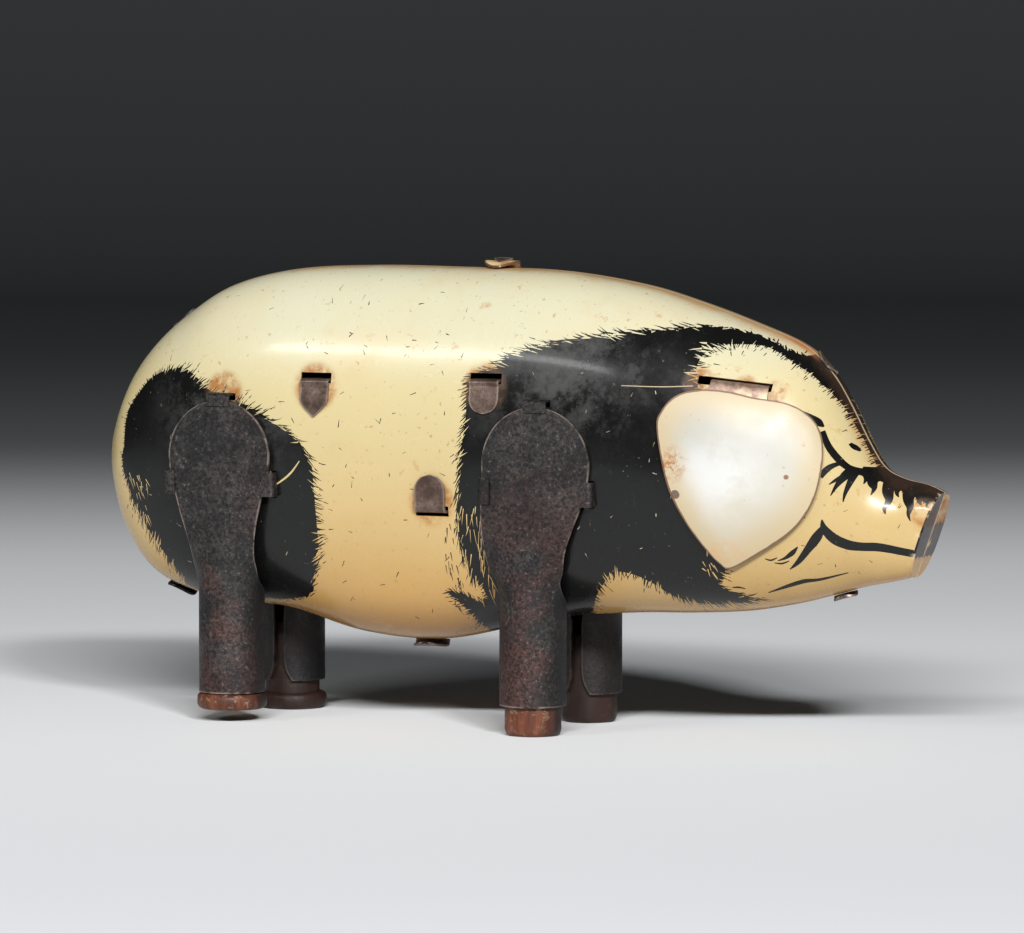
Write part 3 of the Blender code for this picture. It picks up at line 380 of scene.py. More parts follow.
# Loose marks: count, box (x, z to x, z), direction and its spread in degrees, lengths, widths, ink.
LOOSE_HAIRS = [
    (44, (-5.2, 31.0, 0.8, 50.0), 262, 6, (1.2, 4.2), (0.12, 0.26), CREAM),
    (30, (-9.6, 27.0, -6.2, 46.0), 266, 6, (0.8, 2.0), (0.16, 0.3), BLACK),
    (14, (50.6, 36.0, 54.4, 43.5), 285, 16, (0.5, 1.5), (0.18, 0.34), CREAM),
    (26, (48.6, 77.6, 53.0, 87.0), 178, 8, (1.0, 2.8), (0.2, 0.4), CREAM),
    (30, (-90.6, 42.0, -84.6, 56.0), -70, 8, (0.8, 2.4), (0.12, 0.26), CREAM),
]
FLECKS = [
    (26, (8.0, 40.0, 46.0, 86.0), 60, 70, (0.1, 0.7), (0.08, 0.24), BARE),
    (14, (-88.0, 34.0, -46.0, 70.0), 60, 70, (0.1, 0.7), (0.08, 0.22), BARE),
    (30, (-80.0, 60.0, 0.0, 98.0), 30, 70, (0.3, 1.2), (0.1, 0.26), BLACK),
    (30, (-38.0, 24.0, -8.0, 76.0), 150, 70, (0.3, 1.5), (0.1, 0.26), BLACK),
    (12, (-44.0, 80.0, -8.0, 88.0), 20, 70, (0.3, 0.9), (0.12, 0.30), BLACK),
    (20, (66.0, 36.0, 96.0, 56.0), 60, 70, (0.2, 0.8), (0.08, 0.2), BLACK),
]


def stroke_outline(points):
    """The outline of a brush stroke from its middle line and half thicknesses."""
    fine = spline(points, np.linspace(0, len(points) - 1, 6 * (len(points) - 1) + 1))
    way = np.gradient(fine[:, :2], axis=0)
    way /= np.maximum(np.linalg.norm(way, axis=1, keepdims=True), 1e-9)
    across = np.stack([-way[:, 1], way[:, 0]], axis=1) * np.maximum(fine[:, 2:3], 0.05)
    return np.vstack([fine[:, :2] + across, (fine[:, :2] - across)[::-1]])


def hair(root, direction, length, width, bend):
    """One tapering, slightly bent hair as a thin outline."""
    way = np.array([math.cos(direction), math.sin(direction)])
    across = np.array([-way[1], way[0]])
    middle = root + way * length * 0.55 + across * bend * length * 0.5
    tip = root + way * length + across * bend * length
    return np.array([root - way * 0.5 + across * width / 2, root - way * 0.5 - across * width / 2,
                     middle - across * width * 0.32, tip, middle + across * width * 0.32])


def fringe(rows, rng, spacing=0.5, reverse_share=0.35, loose_share=0.12):
    """Hairs along a patch's outline: black ones outwards, and some cream ones the other way."""
    combed = [(x, z, math.cos(math.radians(d)) * n, math.sin(math.radians(d)) * n) for x, z, d, n in rows]
    fine = closed_spline(combed, 24)
    loop = np.vstack([fine, fine[:1]])
    reach = np.concatenate([[0], np.cumsum(np.linalg.norm(np.diff(loop[:, :2], axis=0), axis=1))])
    outlines, place = [], 0.0
    while place < reach[-1]:
        x, z, dx, dz = (np.interp(place, reach, loop[:, c]) for c in range(4))
        length = math.hypot(dx, dz)
        place += spacing * rng.uniform(0.6, 1.4)
        if length < 0.25:
            continue
        direction = math.atan2(dz, dx) + rng.normal() * 0.16
        way = np.array([math.cos(direction), math.sin(direction)])
        root = np.array([x, z]) + rng.normal(size=2) * 0.12
        size = length * rng.uniform(0.45, 1.25)
        outlines.append((BLACK, hair(root, direction, size, rng.uniform(0.2, 0.44), rng.normal() * 0.16)))
        if rng.uniform() < reverse_share:
            back = direction + math.pi + rng.normal() * 0.15
            start = np.array([x, z]) + way * 0.5
            outlines.append((CREAM, hair(start, back, size * 0.75 + 0.5, rng.uniform(0.2, 0.36), 0.0)))
        if rng.uniform() < loose_share:
            loose = root + way * (size + rng.uniform(0.2, 1.0))
            outlines.append((BLACK, hair(loose, direction, size * 0.35, 0.22, 0.0)))
    return outlines


def scattered(rng, count, box, direction, spread, length, width, ink):
    """Loose thin marks in a box of the side elevation."""
    marks = []
    for _ in range(count):
        root = np.array([rng.uniform(box[0], box[2]), rng.uniform(box[1], box[3])])
        turn = math.radians(direction + rng.normal() * spread)
        marks.append((ink, hair(root, turn, rng.uniform(*length), rng.uniform(*width), rng.normal() * 0.15)))
    return marks


def print_layout(seed):
    """All outlines of the print in the side elevation, in the order in which they cover each other."""
    rng = np.random.default_rng(seed)
    patches = (REAR_PATCH, FRONT_PATCH)
    laid = [(BLACK, closed_spline([row[:2] for row in patch], 5)) for patch in patches]
    for patch in patches:
        laid += fringe(patch, rng)
    for marks in LOOSE_HAIRS:
        laid += scattered(rng, *marks)
    laid += [(BLACK, stroke_outline(points)) for points in STROKES]
    laid.append((CREAM, stroke_outline(REAR_SCRATCH)))
    for marks in FLECKS:
        laid += scattered(rng, *marks)
    laid.append((BARE, stroke_outline(EAR_SCRATCH)))
    return laid


def slot_outlines():
    """Openings in each half shell, in the side elevation."""
    holes = []
    for x, z, fold, width, _, _ in FIXING_TABS:
        low, high = (z - 0.6, z + 1.7) if fold < 0 else (z - 1.7, z + 0.6)
        half = width / 2 + SLOT_PLAY
        holes.append([(x - half, low), (x + half, low), (x + half, high), (x - half, high)])
    half = LEG_TAB_W / 2 + SLOT_PLAY
    for leg, (pad_x, _, _) in LEGS.items():
        for direction, rise, reach in LEG_TABS[leg]:
            out = np.array([math.cos(math.radians(direction)), math.sin(math.radians(direction))])
            side = np.array([-out[1], out[0]])
            centre = np.array([pad_x, PAD_Z + rise])
            corners = ((reach, -half), (reach + 1.55, -half), (reach + 1.55, half), (reach, half))
            holes.append([centre + out * u + side * v for u, v in corners])
    start, end = EAR_SLOT
    along = (end - start).normalized()
    up = Vector((-along.z, 0, along.x))
    holes.append([tuple((p + up * rise).xz) for p, rise in
                  ((start, -0.85), (end, -0.85), (end, 0.95), (start, 0.95))])
    return holes


def body_grid(step=1.3, around=76):
    """Points of the flattened sheet that carry its curvature."""
    along = np.linspace(0, FLAT_U[-1], int(FLAT_U[-1] / step) + 1)
    across = np.linspace(0, math.pi * AROUND, around + 1)
    return [(u, v) for u in along for v in across]


def edge_loop_of(triangles):
    """Edges that belong to one triangle only, in the direction in which that triangle runs."""
    edges = np.concatenate([triangles[:, [0, 1]], triangles[:, [1, 2]], triangles[:, [2, 0]]])
    key = np.sort(edges, axis=1)
    _, index, count = np.unique(key, axis=0, return_inverse=True, return_counts=True)
    return edges[count[index.reshape(-1)] == 1]


def inside(loop, points):
    """Which of the points lie inside a closed outline."""
    a, b = loop, np.roll(loop, -1, axis=0)
    x, y = points[:, 0:1], points[:, 1:2]
    crosses = (a[:, 1] > y) != (b[:, 1] > y)
    rise = np.where(b[:, 1] == a[:, 1], 1e-12, b[:, 1] - a[:, 1])
    left = x < (b[:, 0] - a[:, 0]) * (y - a[:, 1]) / rise + a[:, 0]
    return (crosses & left).sum(axis=1) % 2 == 1


def laid_out(side_name):
    """The flattened sheet cut into triangles along the print: places, triangles and each triangle's ink."""
    places, edges, loops, inks = body_grid(), [], [], []
    layout = print_layout(PRINT_SEEDS[side_name]) + [(HOLE, outline) for outline in slot_outlines()]
    outlines = [np.asarray(outline, float) for _, outline in layout]
    every = np.vstack(outlines)
    starts = np.cumsum([len(outline) for outline in outlines])[:-1]
    for (ink, _), flat in zip(layout, np.split(flattened(every[:, 0], every[:, 1]), starts)):
        flat = flat[np.linalg.norm(flat - np.roll(flat, 1, axis=0), axis=1) > 0.02]
        if len(flat) < 3:
            continue
        first, count = len(places), len(flat)
        edges += [(first + k, first + (k + 1) % count) for k in range(count)]
        places += [tuple(p) for p in flat]
        loops.append(flat)
        inks.append(ink)
    corners, _, triangles, *_ = delaunay_2d_cdt([Vector(p) for p in places], edges, [], 0, 1e-4, False)
    flat, triangles = np.array([tuple(p) for p in corners]), np.array([tuple(f) for f in triangles])
    middle = flat[triangles].mean(axis=1)
    ink_of = np.full(len(triangles), CREAM)
    for ink, loop in zip(inks, loops):
        near = np.nonzero(np.all((middle > loop.min(axis=0)) & (middle < loop.max(axis=0)), axis=1))[0]
        ink_of[near[inside(loop, middle[near])]] = ink
    keep = ink_of != HOLE
    return flat, triangles[keep], ink_of[keep]


def end_cap(t, apex):
    """A half end of the body as a grid: rings from a point on the seam out to the section at t."""
    angles = np.linspace(0, math.pi, 61)
    outline = body_point(np.full(61, float(t)), angles)
    shares = np.concatenate([np.linspace(0.02, 0.9, 22), [0.95, 0.985, 1.0]])
    grid = np.array([np.asarray(apex) + (outline - apex) * share for share in shares])
    grid[:, :, 1] = np.maximum(grid[:, :, 1], SEAM_GAP)
    return grid


def end_ink(side_name, y, z):
    """The print on the flat end of the snout; it differs between the halves."""
    ragged = z + 0.25 * np.sin(y * 3.1) + 0.15 * np.sin(y * 7.7)
    if side_name == "right":
        return ragged > 41.0
    band = (ragged < 48.3) & (ragged > 40.9)
    spot = (y < 1.6) & (np.abs(ragged - 43.9) < 0.6)
    return (band & ~spot) | (ragged > 54.6)


def mesh_numbers(items, what, width, kind):
    """One property of all items of a mesh, as an array."""
    numbers = np.zeros(len(items) * width, kind)
    items.foreach_get(what, numbers)
    return numbers


def make_shell(side_name, printed, tin):
    """A half shell as one sheet, with the print as a value of each face and the ends closed by caps."""
    side = SIDES[side_name]
    flat, triangles, inks = laid_out(side_name)
    used = np.unique(triangles)
    renumber = np.full(len(flat), -1)
    renumber[used] = np.arange(len(used))
    flat, triangles = flat[used], renumber[triangles]
    angle = flat[:, 1] / AROUND
    t = np.interp(flat[:, 0], FLAT_U, FLAT_T)
    outer, normal = body_point(t, angle), body_normal(t, angle)
    inner = outer - normal * TIN
    for layer in (outer, inner):
        layer[:, 1] = np.maximum(layer[:, 1], SEAM_GAP)
    first, second, third = (outer[triangles[:, k]] for k in range(3))
    if np.einsum("ij,ij->i", np.cross(second - first, third - first), normal[triangles[:, 0]]).sum() < 0:
        triangles = triangles[:, ::-1]
    count, rim = len(outer), edge_loop_of(triangles)
    faces = [tuple(f) for f in triangles] + [tuple(f) for f in triangles[:, ::-1] + count]
    faces += [(b, a, a + count, b + count) for a, b in rim]
    n, r = len(triangles), len(rim)
    points, normals = [outer, inner], [normal, -normal]
    face_inks = [inks, np.full(n + r, CREAM)]
    inside_skin, own_normal = [np.zeros(n), np.ones(n), np.zeros(r)], [np.zeros(2 * n), np.ones(r)]
    wear = [np.clip(1 - (FLAT_U[-1] - flat[:, 0]) / RIM_WEAR[0], 0, 1)] * 2
    top, bottom = STATIONS[-1][:2], STATIONS[-1][2:4]
    snout_middle = ((top[0] + bottom[0]) / 2, 0.0, (top[1] + bottom[1]) / 2)
    for grid, painted in ((end_cap(LAST_STATION, snout_middle), True), (end_cap(0, REAR_TIP), False)):
        cap_points, cap_faces, _ = sheet_solid(grid, TIN)
        cap_faces = oriented(cap_points, cap_faces)
        start = sum(len(p) for p in points)
        faces += [tuple(i + start for i in f) for f in cap_faces]
        points.append(cap_points)
        normals.append(np.zeros_like(cap_points))
        centres = np.array([cap_points[list(f)].mean(axis=0) for f in cap_faces])
        inked = end_ink(side_name, centres[:, 1], centres[:, 2]) & painted
        face_inks.append(np.where(inked, BLACK, CREAM))
        inside_skin.append(np.zeros(len(cap_faces)))
        own_normal.append(np.ones(len(cap_faces)))
        reach = np.linalg.norm(grid - grid[-1], axis=2).reshape(-1)
        wear.append(np.tile(np.clip(1 - reach / RIM_WEAR[1], 0, 1) * painted, 2))
    mirror = np.array([1, side, 1])
    faces = [tuple(int(i) for i in f)[::side] for f in faces]
    made = new_piece(f"{side_name}_shell_print", np.vstack(points) * mirror, faces, [printed, tin], "body",
                     [f"{side_name}_body_shell"], sharp_deg=0)
    mesh, face_inks = made.data, np.concatenate(face_inks)
    set_attribute(mesh, "ink", face_inks == BLACK, "FACE")
    set_attribute(mesh, "bare", face_inks == BARE, "FACE")
    set_attribute(mesh, "wear", np.concatenate(wear))
    mesh.polygons.foreach_set("material_index", np.concatenate(inside_skin).astype(np.int32))
    corner = mesh_numbers(mesh.loops, "vertex_index", 1, np.int32)
    face_normal = mesh_numbers(mesh.polygons, "normal", 3, np.float32).reshape(-1, 3)
    loop_face = np.repeat(np.arange(len(faces)), mesh_numbers(mesh.polygons, "loop_total", 1, np.int32))
    loop_normals = np.where(np.concatenate(own_normal)[loop_face, None] > 0, face_normal[loop_face],
                            (np.vstack(normals) * mirror)[corner])
    mesh.normals_split_custom_set(loop_normals.tolist())


# ---------------------------------------------------------------- materials

class Shader:
    """A node material, built from small steps that hand sockets to each other."""

    def __init__(self, name):
        self.material = bpy.data.materials.new(name)
        self.material.use_nodes = True
        self.nodes = self.material.node_tree.nodes
        self.links = self.material.node_tree.links
        self.surface = self.nodes["Principled BSDF"]
        self.place = self.nodes.new("ShaderNodeTexCoord").outputs["Object"]

    def _feed(self, socket, value):
        if isinstance(value, bpy.types.NodeSocket):
            self.links.new(value, socket)
        elif value is not None:
            socket.default_value = value

    def math(self, operation, a, b=None, clamp=False):
        node = self.nodes.new("ShaderNodeMath")
        node.operation = operation
        node.use_clamp = clamp
        self._feed(node.inputs[0], a)
        self._feed(node.inputs[1], b)
        return node.outputs[0]

    def times(self, a, b, clamp=False):
        return self.math("MULTIPLY", a, b, clamp)

    def plus(self, a, b):
        return self.math("ADD", a, b)

    def larger(self, a, b):
        return self.math("MAXIMUM", a, b)

    def noise(self, scale, detail=4.0, roughness=0.6, stretch=(1, 1, 1), offset=(0, 0, 0)):
        move = self.nodes.new("ShaderNodeMapping")
        move.inputs["Scale"].default_value = stretch
        move.inputs["Location"].default_value = offset
        self.links.new(self.place, move.inputs["Vector"])
        node = self.nodes.new("ShaderNodeTexNoise")
        node.inputs["Scale"].default_value = scale
        node.inputs["Detail"].default_value = detail
        node.inputs["Roughness"].default_value = roughness
        self.links.new(move.outputs[0], node.inputs["Vector"])
        return node.outputs["Fac"]

    def span(self, value, low, high, to_low=0.0, to_high=1.0):
        """The value's place between low and high, smoothly, as to_low to to_high."""
        node = self.nodes.new("ShaderNodeMapRange")
        node.interpolation_type = "SMOOTHSTEP"
        self._feed(node.inputs["Value"], value)
        ends = {"From Min": low, "From Max": high, "To Min": to_low, "To Max": to_high}
        for socket, number in ends.items():
            node.inputs[socket].default_value = number
        return node.outputs[0]

    def blots(self, low, high, *noise, **more):
        """0 where a noise is under low, 1 where it is over high."""
        return self.span(self.noise(*noise, **more), low, high)

    def uneven(self, smooth, rough, scale, detail=4):
        """A roughness that wavers between two values."""
        return self.span(self.noise(scale, detail), 0.3, 0.7, smooth, rough)

    def mix(self, share, a, b):
        node = self.nodes.new("ShaderNodeMix")
        node.data_type = "RGBA"
        self._feed(node.inputs["Factor"], share)
        for socket, colour in (("A", a), ("B", b)):
            target = next(i for i in node.inputs if i.name == socket and i.type == "RGBA")
            self._feed(target, (*colour, 1.0) if isinstance(colour, tuple) else colour)
        return next(o for o in node.outputs if o.type == "RGBA")

    def over(self, base, share, strength, colour):
        """The base colour with another laid over it, at a share times a strength."""
        return self.mix(self.times(share, strength), base, colour)

    def attribute(self, name):
        node = self.nodes.new("ShaderNodeAttribute")
        node.attribute_name = name
        return node.outputs["Fac"]

    def axis(self, which):
        node = self.nodes.new("ShaderNodeSeparateXYZ")
        self.links.new(self.place, node.inputs[0])
        return node.outputs["XYZ".index(which)]

    def from_seam(self):
        """Distance from the seam plane, in metres."""
        return self.math("ABSOLUTE", self.math("SUBTRACT", self.axis("Y"), SEAM_Y * MM))

    def inner_shade(self, strength):
        """Painted shade: the strength on the side that faces the seam plane, under the body, and 0 on the
        outer side.
        """
        return self.span(self.from_seam(), (TUBE_Y + 1.0) * MM, (TUBE_Y + 5.0) * MM, strength, 0.0)

    def near(self, x, z, reach):
        """1 near a point of the side elevation, in millimetres, falling to 0 at reach."""
        dx = self.math("SUBTRACT", self.axis("X"), x * MM)
        dz = self.math("SUBTRACT", self.axis("Z"), z * MM)
        squared = self.plus(self.times(dx, dx), self.times(dz, dz))
        return self.span(self.math("SQRT", squared), 0.0, reach * MM, 1.0, 0.0)

    def bump(self, height, strength, distance=0.0002):
        node = self.nodes.new("ShaderNodeBump")
        node.inputs["Strength"].default_value = strength
        node.inputs["Distance"].default_value = distance
        self.links.new(height, node.inputs["Height"])
        self.links.new(node.outputs[0], self.surface.inputs["Normal"])

    def finish(self, colour, roughness, metallic=0.0, **sockets):
        self._feed(self.surface.inputs["Base Color"], colour)
        self._feed(self.surface.inputs["Roughness"], roughness)
        self._feed(self.surface.inputs["Metallic"], metallic)
        for name, value in sockets.items():
            self.surface.inputs[name.replace("_", " ")].default_value = value
        return self.material


def printed_tin():
    s = Shader("printed_tin")
    z = s.axis("Z")
    broad = s.noise(24, 5, 0.6)
    fine = s.noise(420, 4, 0.7)
    # paler towards the top and more orange towards the bottom: partly the print's own tone, partly painted
    # light on the top and painted shade below
    cream = s.mix(s.span(z, 0.030, 0.080), (0.45, 0.295, 0.112), (0.50, 0.43, 0.235))
    cream = s.mix(s.span(z, 0.072, 0.092), cream, (0.51, 0.49, 0.35))
    cream = s.over(cream, s.span(broad, 0.42, 0.68), 0.30, (0.54, 0.415, 0.21))
    cream = s.over(cream, s.blots(0.55, 0.75, 90, 4), 0.22, (0.46, 0.32, 0.15))
    # age along the seam and round the openings
    from_seam = s.from_seam()
    ragged = s.plus(from_seam, s.times(s.math("SUBTRACT", s.noise(110, 5, 0.7), 0.5), 0.010))
    seam_age = s.span(ragged, 0.0012, 0.0062, 1.0, 0.0)
    low_age = s.span(s.plus(z, s.times(broad, 0.016)), 0.034, 0.050, 0.75, 0.0)
    spots = [(x, slot_z + 1.5 * fold, 8.0) for x, slot_z, fold, *_ in FIXING_TABS]
    spots += [(50.0, 78.6, 5.0), (60.0, 77.6, 4.0), (66.0, 76.6, 4.0), (LEGS["rear"][0], 74.0, 7.0),
              (98.0, 51.0, 5.0)]
    halo = s.near(*spots[0])
    for spot in spots[1:]:
        halo = s.larger(halo, s.near(*spot))
    rust = s.span(s.noise(230, 6, 0.75), 0.34, 0.60, 0.1, 1.1)
    halo = s.times(s.span(halo, 0.10, 0.52), rust, clamp=True)
    aged = s.over(cream, seam_age, 0.75, (0.46, 0.245, 0.085))
    aged = s.over(aged, low_age, 0.75, (0.46, 0.25, 0.075))
    aged = s.mix(s.span(z, 0.0215, 0.031, 0.75, 0.0), aged, (0.27, 0.125, 0.032))
    aged = s.over(aged, halo, 0.95, (0.31, 0.125, 0.026))
    aged = s.over(aged, s.blots(0.67, 0.73, 900, 2, 0.5), 0.55, (0.30, 0.16, 0.07))
    aged = s.over(aged, s.blots(0.61, 0.70, 210, 5, 0.75, offset=(7, 2, 5)), 0.5, (0.40, 0.24, 0.10))
    rusty_seam = s.times(s.near(67.5, 87.0, 7.0), s.span(from_seam, 0.0018, 0.0034, 1.0, 0.0))
    aged = s.mix(rusty_seam, aged, (0.45, 0.19, 0.07))
    # black ink, grey on its upper parts: partly scuffs where hands wear it, partly a painted sheen for the
    # light reflected there
    scuff_and_sheen_area = s.larger(s.near(18.0, 84.0, 34.0), s.near(-62.0, 72.0, 26.0))
    scuffs_and_sheen = s.times(s.blots(0.46, 0.62, 62, 10, 0.80), scuff_and_sheen_area)
    black = s.over((0.0045, 0.0048, 0.0044), scuffs_and_sheen, 0.75, (0.060, 0.061, 0.058))
    streaks = s.blots(0.60, 0.72, 300, 6, 0.8, stretch=(1.0, 1.0, 0.35))
    black = s.over(black, streaks, 0.22, (0.060, 0.058, 0.054))
    black = s.over(black, s.blots(0.68, 0.78, 1100, 3, 0.6), 0.6, (0.26, 0.22, 0.17))
    black = s.over(black, seam_age, 0.35, (0.085, 0.045, 0.030))
    black = s.over(black, halo, 0.45, (0.16, 0.09, 0.05))
    black = s.mix(rusty_seam, black, (0.45, 0.19, 0.07))
    colour = s.mix(s.attribute("ink"), aged, black)
    colour = s.mix(s.attribute("bare"), colour, (0.42, 0.33, 0.22))
    # bare metal along the seam and on the rim of the snout
    worn = s.span(s.plus(from_seam, s.times(fine, 0.0006)), 0.0004, 0.0010, 0.6, 0.0)
    worn_rim = s.times(s.attribute("wear"), s.span(s.noise(420, 4), 0.50, 0.66, 0.0, 0.8))
    colour = s.mix(s.larger(worn, worn_rim), colour, (0.60, 0.46, 0.30))
    rough = s.plus(s.span(s.noise(160, 5, 0.65), 0.3, 0.75, 0.20, 0.32), s.times(halo, 0.3))
    rough = s.plus(rough, s.times(s.times(scuffs_and_sheen, s.attribute("ink")), 0.28))
    s.bump(s.plus(s.noise(60, 3, 0.5), s.times(fine, 0.10)), 0.10, 0.0006)
    return s.finish(colour, rough, Coat_Weight=0.14, Coat_Roughness=0.10, Specular_IOR_Level=0.30)


def tongue_tin():
    s = Shader("tongue_tin")
    worn = s.span(s.plus(s.attribute("edge"), s.times(s.noise(400, 4), 0.7)), 0.45, 0.95, 1.0, 0.0)
    cream = s.mix(s.blots(0.42, 0.62, 300, 5, 0.7), (0.74, 0.56, 0.30), (0.50, 0.28, 0.12))
    colour = s.mix(worn, cream, (0.13, 0.065, 0.035))
    return s.finish(colour, s.uneven(0.30, 0.50, 260), 0.15)


def bare_tin():
    s = Shader("inside_tin")
    colour = s.mix(s.blots(0.35, 0.7, 60, 5), (0.30, 0.27, 0.23), (0.17, 0.11, 0.07))
    return s.finish(colour, s.uneven(0.35, 0.6, 200), 0.8)


def leg_steel():
    s = Shader("leg_steel")
    mottle = s.noise(95, 8, 0.72)
    base = s.mix(s.span(mottle, 0.40, 0.62), (0.008, 0.0078, 0.0082), (0.040, 0.034, 0.032))
    low = s.span(s.axis("Z"), 0.032, 0.056, 0.9, 0.22)
    rusty = s.times(s.blots(0.47, 0.62, 34, 5, 0.6, offset=(3, 1, 2)), low)
    base = s.mix(rusty, base, (0.062, 0.025, 0.019))
    base = s.over(base, s.blots(0.56, 0.70, 520, 6, 0.75), 0.75, (0.018, 0.015, 0.015))
    base = s.over(base, s.blots(0.66, 0.74, 760, 4, 0.7), 0.6, (0.26, 0.22, 0.18))
    pits = s.noise(1350, 4, 0.8)
    base = s.over(base, s.span(pits, 0.50, 0.56), 0.9, (0.0022, 0.0022, 0.0026))
    base = s.over(base, s.span(pits, 0.41, 0.33), 0.8, (0.135, 0.120, 0.108))
    # lighter along the edges: partly worn metal, partly a painted highlight where the edges catch the light
    worn = s.times(s.span(s.attribute("edge"), 0.05, 0.45, 1.0, 0.0), s.blots(0.35, 0.6, 300, 3))
    base = s.over(base, worn, 0.8, (0.26, 0.20, 0.17))
    # painted shade: darker on the inner side of the leg, under the body
    base = s.mix(s.inner_shade(0.8), base, (0.006, 0.0055, 0.006))
    s.bump(s.plus(s.noise(1100, 5, 0.75), s.times(mottle, 0.7)), 0.55, 0.00025)
    return s.finish(base, s.span(s.noise(210, 6, 0.7), 0.3, 0.72, 0.38, 0.68), 0.35)


def tab_steel():
    s = Shader("tab_steel")
    base = s.mix(s.blots(0.38, 0.64, 150, 6, 0.7), (0.085, 0.054, 0.042), (0.20, 0.142, 0.115))
    base = s.over(base, s.blots(0.52, 0.62, 1300, 5, 0.75), 0.75, (0.07, 0.040, 0.030))
    base = s.over(base, s.span(s.attribute("edge"), 0.05, 0.55, 1.0, 0.0), 0.45, (0.42, 0.34, 0.29))
    s.bump(s.noise(480, 5, 0.7), 0.35, 0.0002)
    return s.finish(base, s.uneven(0.32, 0.55, 260, 5), 0.75)


def ear_tin():
    s = Shader("ear_tin")
    z, rim = s.axis("Z"), s.attribute("edge")
    white = s.mix(s.blots(0.35, 0.7, 60, 4), (0.47, 0.455, 0.40), (0.44, 0.42, 0.35))
    # painted highlight: a whiter glow at the middle of the ear, broken up by noise
    painted_glow = s.span(s.noise(70, 7, 0.75), 0.30, 0.62, 0.35, 1.5)
    white = s.mix(s.times(s.near(56.0, 59.0, 16.0), painted_glow, clamp=True), white, (0.56, 0.565, 0.55))
    # painted shade: darker grey towards the top of the ear
    white = s.mix(s.span(z, 0.056, 0.072, 0.0, 0.55), white, (0.30, 0.285, 0.24))
    # yellowed towards the rim and the tip, with rust, a chip and a dot
    ragged = s.plus(rim, s.times(s.math("SUBTRACT", s.noise(120, 5, 0.7), 0.5), 4.5))
    colour = s.mix(s.span(ragged, 0.5, 9.5, 0.85, 0.0), white, (0.46, 0.365, 0.215))
    colour = s.over(colour, s.span(z, 0.042, 0.062, 1.0, 0.0), 0.45, (0.44, 0.34, 0.19))
    rust = s.times(s.near(45.5, 61.0, 5.5), s.blots(0.47, 0.56, 560, 6, 0.8))
    colour = s.mix(rust, colour, (0.34, 0.14, 0.045))
    tip = s.times(s.near(57.0, 40.5, 7.0), s.blots(0.44, 0.62, 330, 6, 0.75))
    colour = s.over(colour, tip, 0.7, (0.55, 0.28, 0.12))
    chip = s.span(s.plus(s.near(46.6, 54.6, 1.7), s.times(s.noise(600, 3), 0.7)), 0.72, 0.80)
    colour = s.over(colour, chip, 0.85, (0.07, 0.036, 0.028))
    colour = s.mix(s.span(s.near(70.6, 58.7, 1.0), 0.35, 0.6), colour, (0.20, 0.10, 0.06))
    colour = s.over(colour, s.blots(0.69, 0.75, 620, 3, 0.6), 0.6, (0.34, 0.20, 0.10))
    edge = s.span(s.plus(rim, s.times(s.noise(400, 3), 0.35)), 0.50, 0.66, 1.0, 0.0)
    colour = s.over(colour, edge, 0.92, (0.12, 0.052, 0.022))
    s.bump(s.noise(45, 3, 0.5), 0.10, 0.0008)
    return s.finish(colour, s.uneven(0.38, 0.50, 150, 5), Coat_Weight=0.12, Coat_Roughness=0.4)


def neck_tin():
    s = Shader("ear_neck_tin")
    base = s.mix(s.blots(0.42, 0.60, 220, 6, 0.7), (0.16, 0.10, 0.075), (0.33, 0.225, 0.16))
    base = s.mix(s.blots(0.52, 0.62, 90, 4), base, (0.48, 0.36, 0.22))
    s.bump(s.noise(420, 4), 0.3, 0.0002)
    return s.finish(base, 0.45, 0.4)


def foot_wood():
    s = Shader("foot_wood")
    grain = s.noise(260, 6, 0.6, stretch=(1.6, 1.6, 0.16))
    base = s.mix(s.span(grain, 0.36, 0.66), (0.060, 0.0175, 0.0085), (0.165, 0.050, 0.024))
    base = s.over(base, s.blots(0.5, 0.66, 120, 5, 0.7), 0.6, (0.026, 0.010, 0.006))
    dust = s.times(s.blots(0.54, 0.64, 480, 6, 0.75), s.span(s.axis("Z"), 0.0, 0.0075, 0.25, 1.0))
    base = s.over(base, dust, 0.6, (0.36, 0.25, 0.15))
    # painted shade: dark on the inner side under the body and on the stem higher up, inside the leg
    painted_shade = s.larger(s.inner_shade(0.9), s.span(s.axis("Z"), 0.009, 0.012, 0.0, 0.95))
    base = s.mix(painted_shade, base, (0.012, 0.007, 0.006))
    s.bump(s.plus(grain, s.times(s.noise(700, 4), 0.4)), 0.4, 0.0002)
    return s.finish(base, s.uneven(0.40, 0.65, 300), Specular_IOR_Level=0.3)


def mechanism_steel():
    s = Shader("mechanism_steel")
    base = s.mix(s.blots(0.38, 0.66, 110, 6, 0.65), (0.24, 0.21, 0.19), (0.40, 0.37, 0.34))
    base = s.over(base, s.blots(0.54, 0.68, 50, 5), 0.5, (0.20, 0.11, 0.06))
    s.bump(s.noise(500, 4), 0.2, 0.0001)
    return s.finish(base, s.uneven(0.28, 0.48, 240), 0.95)


def wheel_brass():
    s = Shader("wheel_brass")
    base = s.mix(s.blots(0.36, 0.66, 120, 6, 0.65), (0.52, 0.36, 0.13), (0.70, 0.52, 0.22))
    base = s.over(base, s.blots(0.52, 0.68, 60, 5), 0.5, (0.22, 0.15, 0.07))
    s.bump(s.noise(500, 4), 0.15, 0.0001)
    return s.finish(base, s.uneven(0.25, 0.45, 240), 1.0)


# ---------------------------------------------------------------- legs and feet

def leg_rows(leg):
    """Height, half width and wrap angle of a leg's sheet, from the top of the pad to the foot of the tube."""
    pad_r = LEGS[leg][2]
    arcs = np.radians([9, 16, 26, 38, 50, 64, 78, 90])
    rows = [(PAD_Z + pad_r * math.cos(a), pad_r * math.sin(a), 0.02) for a in arcs]
    rows = np.array(rows + LEG_TAPER[leg] + LEG_ROLL)
    fine = spline(rows, np.linspace(0, len(rows) - 1, 6 * (len(rows) - 1) + 1))
    fine[:, 2] = np.clip(fine[:, 2], 0.02, 2.97)
    return fine


